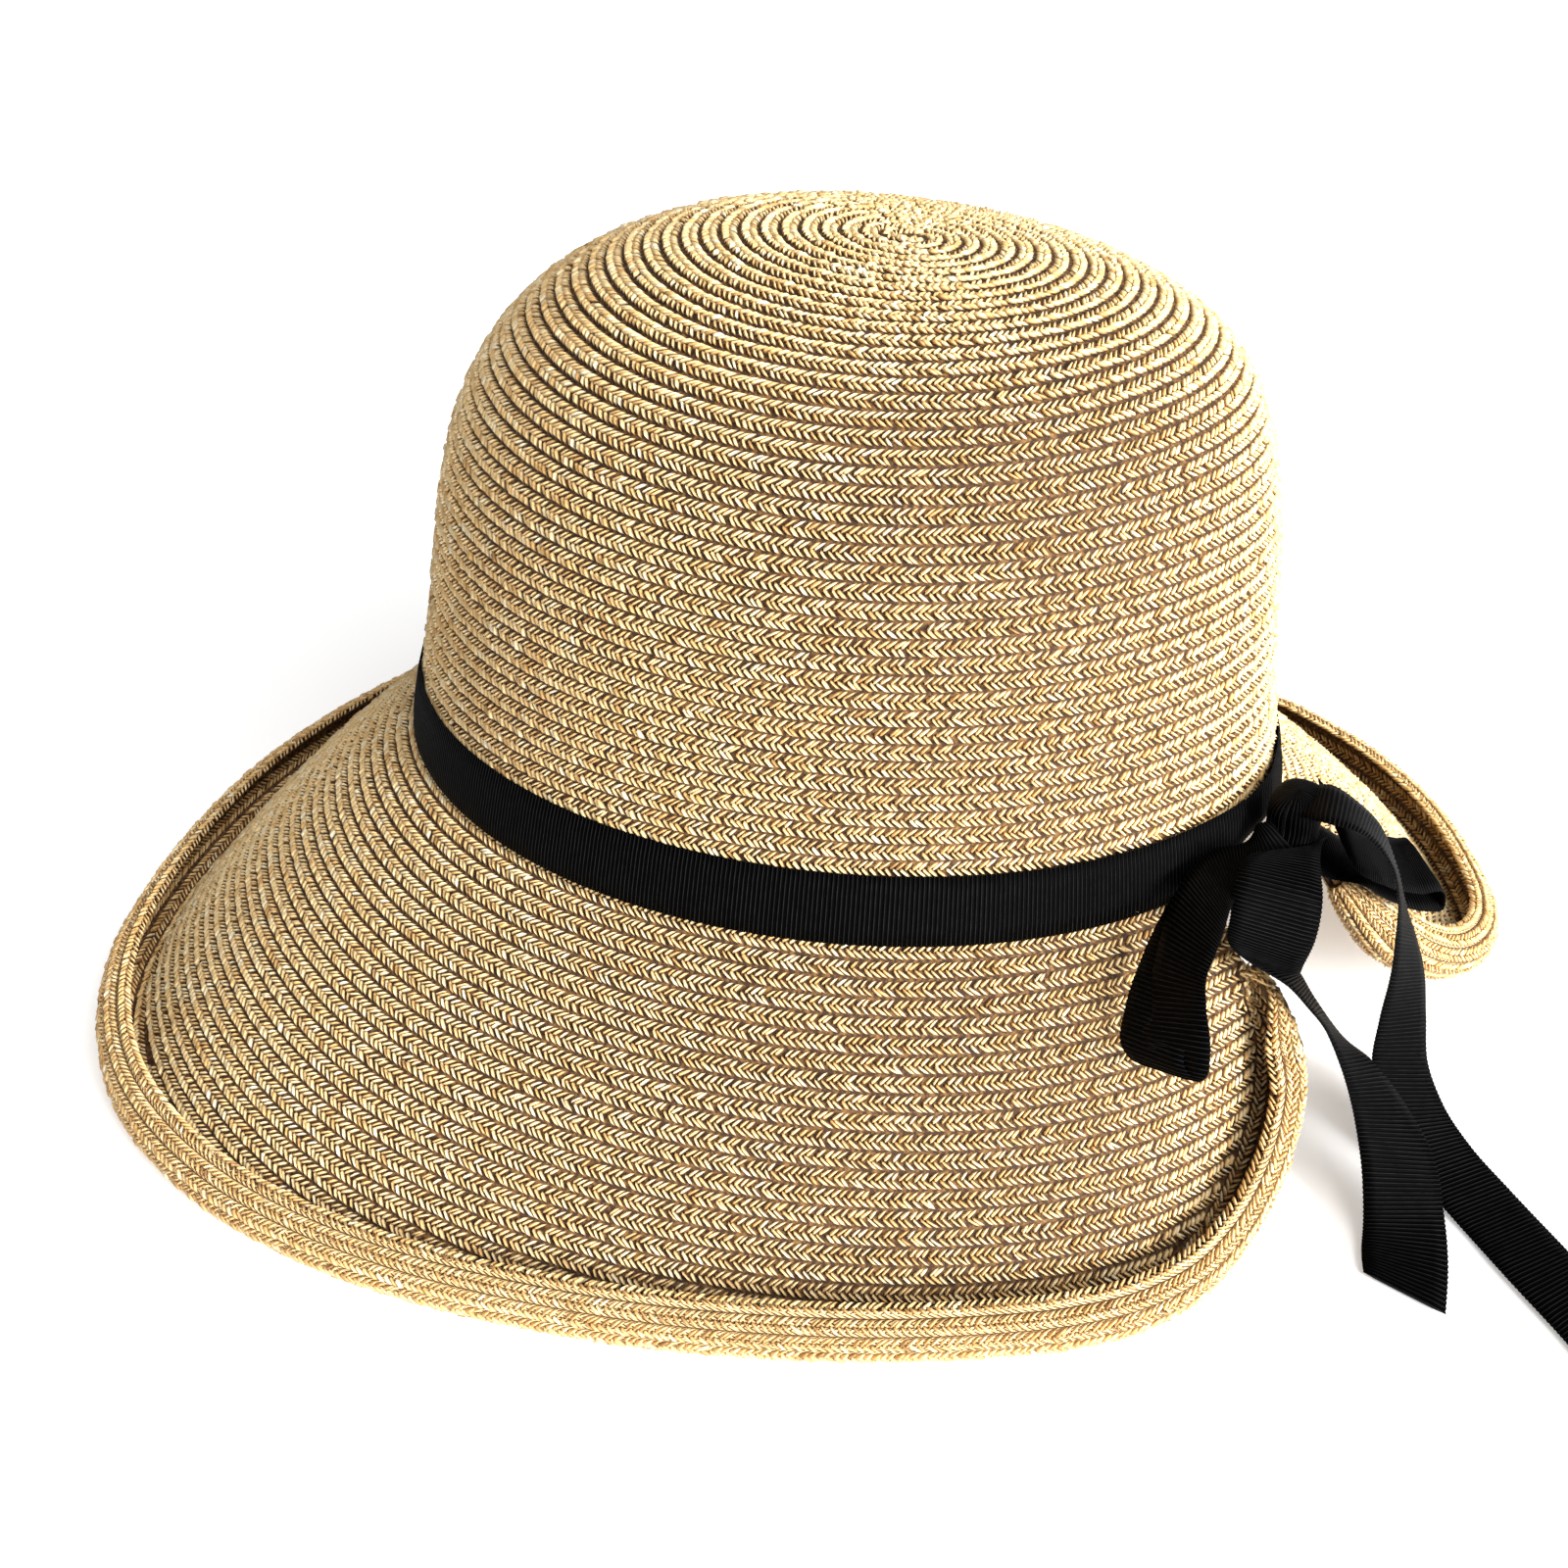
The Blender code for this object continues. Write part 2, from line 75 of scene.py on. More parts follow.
# neck azimuth, shares of the brim's half width and half length, share of the neck's height
rimTable = (
    (21.0, 0.2409, 0.6564, 0.5718), (23.0, 0.2652, 0.6955, 0.4152), (25.0, 0.2957, 0.7179, 0.2655),
    (28.0, 0.3598, 0.7235, 0.1293), (31.5, 0.4360, 0.7151, 0.0477), (35.5, 0.5152, 0.6983, 0.0136),
    (40.0, 0.5915, 0.6715, 0.0014), (45.0, 0.6555, 0.6302, 0.0000), (51.0, 0.7165, 0.5642, 0.0000),
    (58.0, 0.7744, 0.4760, 0.0000), (66.0, 0.8305, 0.3743, 0.0000), (75.0, 0.8872, 0.2458, 0.0000),
    (84.0, 0.9354, 0.1117, 0.0000), (94.0, 0.9738, -0.0419, 0.0000), (104.0, 0.9970, -0.1955, 0.0000),
    (113.0, 0.9988, -0.3464, 0.0000), (121.0, 0.9787, -0.4804, 0.0000), (129.0, 0.9360, -0.6006, 0.0000),
    (137.0, 0.8689, -0.7123, 0.0000), (145.0, 0.7713, -0.8101, 0.0000), (153.0, 0.6433, -0.8911, 0.0000),
    (161.0, 0.4878, -0.9469, 0.0000), (169.0, 0.3110, -0.9832, 0.0000), (177.0, 0.1220, -0.9989, 0.0000),
    (186.0, -0.0732, -0.9832, 0.0000), (195.0, -0.2622, -0.9385, 0.0000), (204.0, -0.4390, -0.8687, 0.0000),
    (213.0, -0.5976, -0.7737, 0.0000), (222.0, -0.7317, -0.6536, 0.0000), (231.0, -0.8354, -0.5140, 0.0000),
    (240.0, -0.9085, -0.3575, 0.0000), (250.0, -0.9512, -0.1899, 0.0000), (260.0, -0.9665, -0.0168, 0.0000),
    (270.0, -0.9573, 0.1564, 0.0000), (280.0, -0.9268, 0.3184, 0.0000), (290.0, -0.8780, 0.4665, 0.0000),
    (299.0, -0.8079, 0.6006, 0.0000), (307.0, -0.7287, 0.7039, 0.0000), (314.0, -0.6433, 0.7793, 0.0000),
    (321.0, -0.5518, 0.8352, 0.0027), (328.0, -0.4543, 0.8771, 0.0136), (335.0, -0.3598, 0.9039, 0.0381),
    (341.0, -0.2744, 0.9095, 0.0749), (346.0, -0.1951, 0.8927, 0.1253), (350.0, -0.1280, 0.8547, 0.2042),
    (353.0, -0.0762, 0.8128, 0.3131), (355.0, -0.0366, 0.7709, 0.4425), (357.0, -0.0091, 0.7263, 0.5854),
)

# the plaited straw; lengths in centimetres
plait = {
    "row": 0.411,  # width of one sewn row
    "rowsToRibbon": 42.9,  # rows from the top's middle to the ribbon
    "chevron": 0.166,  # one crossing along a row
    "strandWide": 0.038,  # half width of a strand
    "strandHigh": 0.066,
    "sheet": 0.16,  # thickness of the plait itself
    "shingle": 0.055,  # how far a row's lower edge stands over the next row
    "pale": (0.95, 0.71, 0.365),
    "tan": (0.76, 0.47, 0.18),
    "brown": (0.36, 0.185, 0.058),
    "cream": (0.96, 0.85, 0.60),
    # next: painted shade, the dark colour put between the strands, at their ends and at the row edges
    "gapShade": (0.042, 0.017, 0.005),
}


def leanAxes():
    # back, left side and up of the hat, which leans a little as it stands
    heading = math.radians(hat["leanHeading"])
    lean = math.radians(hat["lean"])
    toward = np.array([math.cos(heading), math.sin(heading), 0.0])
    across = np.array([-math.sin(heading), math.cos(heading), 0.0])
    up = -math.sin(lean) * toward + np.array([0.0, 0.0, math.cos(lean)])
    raised = math.cos(lean) * toward + np.array([0.0, 0.0, math.sin(lean)])
    back = math.cos(heading) * across + math.sin(heading) * raised
    side = -math.sin(heading) * across + math.cos(heading) * raised
    return back, side, up


def place(alongBack, alongSide, height):
    # middle of the neck plus back, side and up shares, then the shift onto the floor
    back, side, up = leanAxes()
    points = np.multiply.outer(alongBack, back) + np.multiply.outer(alongSide, side)
    points = points + np.multiply.outer(height, up)
    points[..., 2] += hat["neckHeight"]
    return points + np.array(hat["shift"])


def crownPoint(rise, azimuth):
    # an oval whose radii shrink as cos(rise) and whose height grows as sin(rise), each to its own power
    angle = rise * math.pi / 2.0
    plan = np.clip(np.cos(angle), 0.0, 1.0) ** (2.0 / hat["planPower"])
    height = hat["crownHeight"] * np.sin(angle) ** (2.0 / hat["risePower"])
    part = height / hat["crownHeight"]
    plan = plan + hat["baseFlare"] * (1.0 - part) ** 3
    topPart = part ** hat["topReach"]
    along = hat["halfLength"] * plan * np.cos(azimuth)
    wide = hat["halfWidth"] * plan * np.sin(azimuth)
    shift = hat["topShiftBack"] * topPart + hat["neckShift"] * (1.0 - part) ** 2
    return place(along + shift, wide, height - hat["topSlope"] * along * topPart)


def neckPoint(drop, azimuth, offset=0.0):
    # the flared neck: radii grow by 0.15 of the drop and 0.105 of its square
    spread = 0.15 * drop + 0.105 * drop ** 2 + offset
    length = hat["halfLength"] * (1.0 + hat["baseFlare"]) + 0.6 * spread
    width = hat["halfWidth"] * (1.0 + hat["baseFlare"]) + spread
    along = length * np.cos(azimuth) + hat["neckShift"]
    return place(along, width * np.sin(azimuth), -drop + 0.0 * along)


def smoothTable(rows, count, first=1):
    # cubic run through a table's rows, spaced by the chords of three of its columns
    rows = np.asarray(rows, float)
    knots = np.concatenate([[0.0], np.cumsum(np.linalg.norm(np.diff(rows[:, first:first + 3], axis=0), axis=1))])
    slopes = np.gradient(rows, knots, axis=0)
    wanted = np.linspace(0.0, knots[-1], count)
    index = np.clip(np.searchsorted(knots, wanted, side="right") - 1, 0, len(knots) - 2)
    span = (knots[index + 1] - knots[index])[:, None]
    part = (wanted - knots[index])[:, None] / span
    return (rows[index] * (2 * part ** 3 - 3 * part ** 2 + 1) + slopes[index] * span * (part ** 3 - 2 * part ** 2 + part)
            + rows[index + 1] * (3 * part ** 2 - 2 * part ** 3) + slopes[index + 1] * span * (part ** 3 - part ** 2))


def unit(vectors):
    return vectors / np.maximum(np.linalg.norm(vectors, axis=-1, keepdims=True), 1e-12)


def gridNormals(grid, wrap):
    # cross of the two directions of a grid of points
    if wrap:
        alongRows = np.roll(grid, -1, axis=0) - np.roll(grid, 1, axis=0)
    else:
        alongRows = np.gradient(grid, axis=0)
    return unit(np.cross(alongRows, np.gradient(grid, axis=1)))


def sampleGrid(grid, row, column, wrap):
    # values between the points of a grid, in straight lines
    count = grid.shape[0]
    low = np.floor(row).astype(int)
    partRow = (row - low)[..., None]
    if wrap:
        first = low % count
        second = (low + 1) % count
    else:
        first = np.clip(low, 0, count - 1)
        second = np.clip(low + 1, 0, count - 1)
    left = np.clip(np.floor(column).astype(int), 0, grid.shape[1] - 2)
    partColumn = (column - left)[..., None]
    near = grid[first, left] * (1 - partColumn) + grid[first, left + 1] * partColumn
    far = grid[second, left] * (1 - partColumn) + grid[second, left + 1] * partColumn
    return near * (1 - partRow) + far * partRow


def makePiece(name, points, faces, values=None, corners=None):
    # a smooth mesh object from centimetre points; values are numbers per point, corners are UVs per face corner
    mesh = bpy.data.meshes.new(name)
    mesh.from_pydata((np.asarray(points) * cm).tolist(), [], faces if isinstance(faces, list) else faces.tolist())
    mesh.polygons.foreach_set("use_smooth", np.ones(len(mesh.polygons), bool))
    for key, numbers in (values or {}).items():
        layer = mesh.attributes.new(key, "FLOAT", "POINT")
        layer.data.foreach_set("value", np.asarray(numbers, np.float32).ravel())
    if corners is not None:
        layer = mesh.uv_layers.new(name="weave")
        layer.data.foreach_set("uv", np.asarray(corners, np.float32).ravel())
    mesh.update()
    piece = bpy.data.objects.new(name, mesh)
    bpy.context.scene.collection.objects.link(piece)
    return piece


def meshVolume(points, faces):
    # sum of the small pyramids between the origin and each three-cornered face
    return float(np.sum(points[faces[:, 0]] * np.cross(points[faces[:, 1]], points[faces[:, 2]])))


# straw surfaces

def crownSheet(sectors, finest):
    # meridians from the top's middle to below the ribbon, spaced evenly in rows
    azimuth = np.linspace(0.0, 2.0 * math.pi, sectors, endpoint=False)[:, None]
    rises = np.concatenate([1.0 - np.linspace(0.0, 1.0, 260) ** 2 * 0.55, np.linspace(0.45, 0.0, 80)[1:]])[None]
    drops = np.linspace(0.0, 1.62, 18)[None, 1:]
    lines = np.concatenate([crownPoint(rises, azimuth), neckPoint(drops, azimuth)], axis=1)
    steps = np.linalg.norm(np.diff(lines, axis=1), axis=2)
    run = np.concatenate([np.zeros((sectors, 1)), np.cumsum(steps, axis=1)], axis=1)
    atRibbon = run[:, rises.shape[1] - 1]
    wanted = np.arange(0.0, plait["rowsToRibbon"] + 3.8, finest)
    sheet = np.empty((sectors, len(wanted), 3))
    for sector in range(sectors):
        rows = run[sector] / atRibbon[sector] * plait["rowsToRibbon"]
        for axis in range(3):
            sheet[sector, :, axis] = np.interp(wanted, rows, lines[sector, :, axis])
    return sheet


def brimSections(stations):
    # per station: the neck point, the slope down to the rim, and the circle that the edge rolls round
    rest = hat["rollRadius"] + hat["straw"] / 2.0
    table = np.array(rimTable)
    table[:, 1] *= hat["brimHalfWidth"]
    table[:, 2] *= hat["brimHalfLength"]
    table[:, 3] = rest + table[:, 3] * (hat["neckHeight"] - rest)
    rows = smoothTable(table, stations)
    azimuth = np.radians(rows[:, 0])
    centre = rows[:, 1:4] + np.array(hat["shift"])
    top = neckPoint(hat["brimDrop"], azimuth, -hat["straw"] / 2.0)
    run = unit(np.gradient(centre, axis=0))
    walked = np.concatenate([[0.0], np.cumsum(np.linalg.norm(np.diff(centre, axis=0), axis=1))])
    ends = np.clip(np.minimum(walked, walked[-1] - walked) / hat["rollTaper"], 0.0, 1.0)
    radius = (hat["rollRadius"] * (0.26 + 0.74 * ends ** 0.7))[:, None]
    rim = centre.copy()
    bend = math.radians(hat["endBend"])
    for _ in range(4):
        normal = unit(np.cross(run, top - rim))
        normal = normal * np.sign(normal[:, 2:3])
        outward = np.cross(run, normal)
        outward = outward * np.sign(np.sum(outward * (rim - top), axis=1))[:, None]
        normalBent = math.cos(bend) * normal + math.sin(bend) * outward
        outwardBent = math.cos(bend) * outward - math.sin(bend) * normal
        rim = centre - radius * normalBent
    way = unit(rim - top)
    chord = np.linalg.norm(rim - top, axis=1)[:, None]
    leave = top + unit(way + math.tan(bend) * normal) * chord / 3.0
    arrive = rim - unit(way - math.tan(bend) * normal) * chord / 3.0
    return {"azimuth": azimuth, "centre": centre, "top": top, "rim": rim, "leave": leave, "arrive": arrive,
            "normal": normalBent, "outward": outwardBent, "radius": radius}


def slopePoints(sections, parts):
    # the slope as one cubic curve per station
    parts = np.asarray(parts)[:, None, None]
    curve = (sections["top"] * (1 - parts) ** 3 + 3 * sections["leave"] * parts * (1 - parts) ** 2
             + 3 * sections["arrive"] * parts ** 2 * (1 - parts) + sections["rim"] * parts ** 3)
    return np.swapaxes(curve, 0, 1)


def rollPoints(sections, degrees, offset):
    # circle of the rolled edge: down from the rim, outward, over the top and back in
    turns = np.radians(np.asarray(degrees))[:, None, None]
    radius = np.maximum(sections["radius"] + offset, 0.06)
    curve = (sections["centre"] - radius * np.cos(turns) * sections["normal"]
             + radius * np.sin(turns) * sections["outward"])
    return np.swapaxes(curve, 0, 1)


def shellPiece(name, outer, inner, wrap, rowWidth):
    # two grids of points, one over the other, joined round their free edges to one closed body;
    # the first grid's faces take the second material
    count, across = outer.shape[:2]
    points = np.concatenate([outer.reshape(-1, 3), inner.reshape(-1, 3)])
    index = np.arange(count * across).reshape(count, across)
    last = count if wrap else count - 1
    here = index[:last]
    after = np.roll(index, -1, axis=0)[:last]
    upper = np.stack([here[:, :-1], after[:, :-1], after[:, 1:], here[:, 1:]], axis=-1).reshape(-1, 4)
    lower = upper[:, ::-1] + count * across
    edges = [np.stack([here[:, -1], after[:, -1]], axis=-1)]
    edges.append(np.stack([after[:, 0], here[:, 0]], axis=-1))
    if not wrap:
        edges.append(np.stack([index[-1, :-1], index[-1, 1:]], axis=-1)[:, ::-1])
        edges.append(np.stack([index[0, :-1], index[0, 1:]], axis=-1))
        edges = [edges[0], edges[1], edges[2][:, ::-1], edges[3][:, ::-1]]
    rims = np.concatenate(edges)
    sides = np.stack([rims[:, 0], rims[:, 1], rims[:, 1] + count * across, rims[:, 0] + count * across], axis=-1)
    faces = np.concatenate([upper, lower, sides[:, ::-1]])
    # UVs: plait crossings along a row, rows across
    gaps = np.linalg.norm((np.roll(outer, -1, axis=0) - outer)[:last], axis=2)
    strip = (gaps[:, :-1] + gaps[:, 1:]) / 2.0
    end = np.cumsum(strip, axis=0) / plait["chevron"]
    start = end - strip / plait["chevron"]
    rowStart = np.broadcast_to(np.arange(across - 1) * rowWidth, start.shape)
    four = np.stack([start, rowStart, end, rowStart, end, rowStart + rowWidth, start, rowStart + rowWidth], axis=-1)
    four = four.reshape(-1, 4, 2)
    corners = np.concatenate([four, four[:, ::-1], np.zeros((len(sides), 4, 2))])
    triangles = np.concatenate([faces[:, :3], faces[:, [0, 2, 3]]])
    if meshVolume(points, triangles) < 0.0:
        faces = faces[:, ::-1]
        corners = corners[:, ::-1]
    piece = makePiece(name, points, faces, corners=corners.reshape(-1, 2))
    slots = np.zeros(len(faces), np.int32)
    slots[:len(upper)] = 1
    piece.data.polygons.foreach_set("material_index", slots)
    return piece


def rowStations(points, normals, acrosses):
    # evenly spaced crossings along one row, each with its normal and its step to the next row
    steps = np.linalg.norm(np.diff(points, axis=0), axis=1)
    run = np.concatenate([[0.0], np.cumsum(steps)])
    count = int(round(run[-1] / plait["chevron"]))
    wanted = (np.arange(count) + 0.5) * run[-1] / max(count, 1)
    packed = np.concatenate([points, normals, acrosses, np.gradient(points, axis=0)], axis=1)
    found = np.stack([np.interp(wanted, run, packed[:, column]) for column in range(12)], axis=1)
    return found


def strandPiece(name, rows, seed, relief=1.0, toneAndPaintedLight=0.53):
    # two slanting strands for each crossing, each a closed little wedge with a ridge and sunk ends
    found = np.concatenate([row for row in rows if len(row)])
    middle = found[:, 0:3]
    normal = unit(found[:, 3:6])
    across = found[:, 6:9]
    along = unit(found[:, 9:12])
    rng = np.random.default_rng(seed)
    count = len(middle)
    points = []
    tones = []
    shades = []
    for side in (-1.0, 1.0):
        shift = 0.25 * side * plait["chevron"]
        loose = rng.normal(0.0, 0.026, (count, 4))
        innerAlong = 0.66 * plait["chevron"] + shift + loose[:, 0]
        outerAlong = -0.80 * plait["chevron"] + shift + loose[:, 1]
        innerAcross = -0.07 * side + 0.6 * loose[:, 2]
        outerAcross = (0.452 + 0.5 * loose[:, 3]) * side

        def spot(part, bow):
            a = innerAlong + (outerAlong - innerAlong) * part
            b = innerAcross + (outerAcross - innerAcross) * part
            lift = relief * plait["shingle"] * (b + 0.5)
            return (middle + along * (a + bow)[:, None] + across * b[:, None] + normal * lift[:, None])

        first = spot(0.0, 0.0)
        second = spot(0.26, 0.026)
        third = spot(0.74, 0.030)
        fourth = spot(1.0, 0.0)
        way = unit(fourth - first)
        wide = np.cross(normal, way) * (plait["strandWide"] * (1.0 + rng.normal(0.0, 0.13, count)))[:, None]
        high = relief * normal * (plait["strandHigh"] * (1.0 + rng.normal(0.0, 0.30, count)).clip(0.35, 1.6))[:, None]
        low = normal * 0.022
        body = np.stack([first - low, second - wide - low, second + high, second + wide - low,
                         third - wide * 0.95 - low, third + high * 0.95, third + wide * 0.95 - low,
                         fourth - low * 1.3], axis=1)
        points.append(body.reshape(-1, 3))
        bright = rng.random(count)
        tone = toneAndPaintedLight + rng.normal(0.0, 0.11, count) + 0.34 * (bright > 0.93) - 0.20 * (bright < 0.08)
        tones.append(np.repeat(np.clip(tone, 0.0, 1.0), 8))
        # height per corner, 0 at the sunk ends and 1 on the ridge; the strand material paints shade on the ends with
        # it
        shades.append(np.tile([0.0, 0.55, 1.0, 0.55, 0.5, 0.95, 0.5, 0.0], count))
    pattern = np.array([(0, 2, 1), (0, 3, 2), (0, 1, 3), (1, 2, 5), (1, 5, 4), (2, 3, 6), (2, 6, 5),
                        (3, 1, 4), (3, 4, 6), (7, 4, 5), (7, 5, 6), (7, 6, 4)])
    points = np.concatenate(points)
    faces = (np.arange(2 * count)[:, None, None] * 8 + pattern[None]).reshape(-1, 3)
    if meshVolume(points[:8] - points[0], pattern) < 0.0:
        faces = faces[:, ::-1]
    return makePiece(name, points, faces, values={"tone": np.concatenate(tones), "height": np.concatenate(shades)})


finest = 0.125
crown = crownSheet(384, finest)
crownNormals = gridNormals(crown, True)
middleOfCrown = np.mean(crown.reshape(-1, 3), axis=0)
if np.sum(crownNormals[:, 150] * (crown[:, 150] - middleOfCrown)) < 0.0:
    crownNormals = -crownNormals
crownNormals[:, :3] = crownNormals[:, 3:4].mean(axis=0)
coarse = np.round(np.concatenate([[0.12], np.arange(1.0, 46.6, 1.0)]) / finest).astype(int)
outer = (crown - 0.045 * crownNormals)[::2][:, coarse]
inner = (crown - (0.045 + plait["sheet"]) * crownNormals)[::2][:, coarse]
topCap = outer[:, 0].mean(axis=0)
crownShell = shellPiece("crown_shell", outer, inner, True, 1.0)


def crownRow(turn, spiral=True):
    # one turn of the sewn spiral round the crown
    angle = np.arange(385) / 384.0
    row = turn + 0.5 + (angle if spiral else 0.0 * angle)
    row = np.clip(row, 0.14, crown.shape[1] * finest - 0.7)
    column = row / finest
    station = angle * 384.0
    points = sampleGrid(crown, station, column, True)
    normals = unit(sampleGrid(crownNormals, station, column, True))
    before = sampleGrid(crown, station, np.maximum(column - 0.5 / finest, 0.0), True)
    after = sampleGrid(crown, station, column + 0.5 / finest, True)
    steps = after - before
    return points - 0.035 * normals, normals, steps, row


def crownRows(first, last):
    rows = []
    for turn in range(first, last):
        points, normals, steps, row = crownRow(turn)
        if turn < 44:
            rows.append(rowStations(points, normals, steps))
        else:
            rows.append(rowStations(points[:70], normals[:70], steps[:70]))
            rows.append(rowStations(points[330:], normals[330:], steps[330:]))
    return rows


crownTop = strandPiece("crown_top_plaits", crownRows(0, 25), 11)
crownSide = strandPiece("crown_side_plaits", crownRows(25, 46), 12)
print("crown plaits", len(crownTop.data.polygons), len(crownSide.data.polygons))

sections = brimSections(480)
slopeFine = slopePoints(sections, np.linspace(0.0, 1.0, 90))
lead = np.stack([neckPoint(drop, sections["azimuth"], -hat["straw"] / 2.0)
                 for drop in np.linspace(hat["brimDrop"] - 0.42, hat["brimDrop"], 6)[:-1]], axis=1)
slopeFine = np.concatenate([lead, slopeFine], axis=1)
slopeNormals = gridNormals(slopeFine, False)
slopeNormals = slopeNormals * np.sign(np.sum(slopeNormals * sections["normal"][:, None], axis=2))[..., None]
slopeRun = np.concatenate([np.zeros((480, 1)), np.cumsum(np.linalg.norm(np.diff(slopeFine, axis=1), axis=2), axis=1)],
                          axis=1)
slopeReach = slopeRun[:, -1]


def slopeRow(distance):
    # one row at a distance below the neck, where the slope is that long
    keep = np.nonzero(slopeReach > distance + 0.02)[0]
    blocks = np.split(keep, np.nonzero(np.diff(keep) > 1)[0] + 1)
    rows = []
    for block in blocks:
        if len(block) < 6:
            continue
        values = np.empty((len(block), 9))
        for place_, station in enumerate(block):
            run = slopeRun[station]
            spots = [distance, max(distance - plait["row"] / 2.0, 0.0), min(distance + plait["row"] / 2.0, run[-1])]
            column = np.interp(spots, run, np.arange(len(run)))
            values[place_, 0:3] = sampleGrid(slopeFine[station:station + 1], np.zeros(1), column[:1], False)[0]
            values[place_, 3:6] = sampleGrid(slopeNormals[station:station + 1], np.zeros(1), column[:1], False)[0]
            ends = sampleGrid(slopeFine[station:station + 1], np.zeros(2), column[1:], False)
            values[place_, 6:9] = ends[1] - ends[0]
        normals = unit(values[:, 3:6])
        steps = values[:, 6:9]
        steps = steps * (plait["row"] / np.maximum(np.linalg.norm(steps, axis=1), 0.05))[:, None]
        rows.append(rowStations(values[:, 0:3] + (hat["straw"] / 2.0 - 0.035) * normals, normals, steps))
    return rows


brimRows = []
distance = 0.12
while distance < slopeReach.max():
    brimRows.append(slopeRow(distance))
    distance += plait["row"]
half = 11
# the brim's strands take a paler tone than the crown's: painted light
brimUpper = strandPiece("brim_upper_plaits", [row for group in brimRows[:half] for row in group], 21,
                        toneAndPaintedLight=0.57)
brimLower = strandPiece("brim_lower_plaits", [row for group in brimRows[half:] for row in group], 22,
                        toneAndPaintedLight=0.57)
print("brim plaits", len(brimUpper.data.polygons), len(brimLower.data.polygons), "rows", len(brimRows))

# rolled edge: rows run parallel to it
outsideLift = hat["straw"] / 2.0 - 0.035
rowTurn = math.degrees(plait["row"] / (hat["rollRadius"] + hat["straw"] / 2.0))
rollRows = []
turn = hat["rollSweep"] - 0.5 * rowTurn
while turn > 12.0:
    points = rollPoints(sections, [turn], outsideLift)[:, 0]
    before = rollPoints(sections, [turn - rowTurn / 2.0], outsideLift)[:, 0]
    after = rollPoints(sections, [turn + rowTurn / 2.0], outsideLift)[:, 0]
    rollRows.append(rowStations(points, unit(points - sections["centre"]), before - after))
    turn -= rowTurn
insideTurn = math.degrees(plait["row"] / (hat["rollRadius"] - outsideLift))
innerRows = []
turn = 0.5 * insideTurn
while turn < 150.0:
    points = rollPoints(sections, [turn], -outsideLift)[:, 0]
    before = rollPoints(sections, [turn - insideTurn / 2.0], -outsideLift)[:, 0]
    after = rollPoints(sections, [turn + insideTurn / 2.0], -outsideLift)[:, 0]
    innerRows.append(rowStations(points, unit(sections["centre"] - points), after - before))
    turn += insideTurn
# the gutter's and roll's strands take a darker tone: painted shade
rollInside = strandPiece("brim_gutter_plaits", innerRows, 32, relief=0.8, toneAndPaintedLight=0.40)
rollPlaits = strandPiece("brim_roll_plaits", rollRows, 31, relief=0.8, toneAndPaintedLight=0.40)
print("roll plaits", len(rollPlaits.data.polygons), len(rollInside.data.polygons))

# the plain sheet below the strands
shellSections = brimSections(240)
slopeParts = np.linspace(0.0, 1.0, 21)
slopeShell = slopePoints(shellSections, slopeParts)
leadShell = np.stack([neckPoint(drop, shellSections["azimuth"], -hat["straw"] / 2.0)
                      for drop in (hat["brimDrop"] - 0.42, hat["brimDrop"] - 0.2)], axis=1)
rollAngles = np.arange(rowTurn / 2.0, hat["rollSweep"] - 3.0, rowTurn / 2.0)
rollShell = rollPoints(shellSections, rollAngles, 0.0)
middleSheet = np.concatenate([leadShell, slopeShell, rollShell], axis=1)
sheetNormals = gridNormals(middleSheet, False)
sheetNormals = sheetNormals * np.sign(np.sum(sheetNormals[:, 10] * shellSections["normal"], axis=1))[:, None, None]
halfSheet = hat["straw"] / 2.0 - 0.05
brimShell = shellPiece("brim_shell", middleSheet + halfSheet * sheetNormals, middleSheet - halfSheet * sheetNormals,
                       False, 1.0)
print("straw sheets", len(crownShell.data.polygons), len(brimShell.data.polygons))


# ribbon: middle as shares of the hat's half width, half length and neck height, direction across, share of width
ribbon = {
    "width": 1.82,
    "thick": 0.050,
    "rib": 0.105,  # pitch of the ribs
    "ribHigh": 0.024,
    "scallop": 0.010,
    "black": (0.0004, 0.0004, 0.0005),
    # next: painted highlight, the grey put on the rib crests in place of their sheen
    "crestSheen": (0.028, 0.028, 0.029),
}

tailFrontTable = (
    (0.2255, 1.2155, 0.9195, -0.939, 0.344, 0.000, 0.35), (0.4308, 1.1654, 0.9851, -0.540, 0.783, -0.309, 1.00),
    (0.5536, 1.1741, 0.9665, -0.268, 0.941, -0.208, 1.08), (0.5755, 1.1775, 0.8674, -0.417, 0.839, -0.351, 1.18),
    (0.5510, 1.1730, 0.7367, -0.540, 0.680, -0.490, 1.22), (0.4747, 1.2406, 0.6140, -0.869, 0.077, -0.489, 1.00),
    (0.4586, 1.2825, 0.5390, -0.855, 0.006, -0.519, 1.00), (0.4705, 1.3384, 0.4703, -0.743, 0.182, -0.644, 1.00),
    (0.4741, 1.4006, 0.3848, -0.820, 0.330, -0.468, 1.00), (0.5097, 1.4715, 0.2788, -0.689, 0.634, -0.353, 1.00),
    (0.5708, 1.5332, 0.1673, -0.462, 0.875, -0.143, 1.00), (0.6728, 1.5741, 0.0620, -0.408, 0.913, 0.000, 1.02),
    (0.9013, 1.6103, 0.0124, 0.246, 0.969, 0.000, 1.05),
)
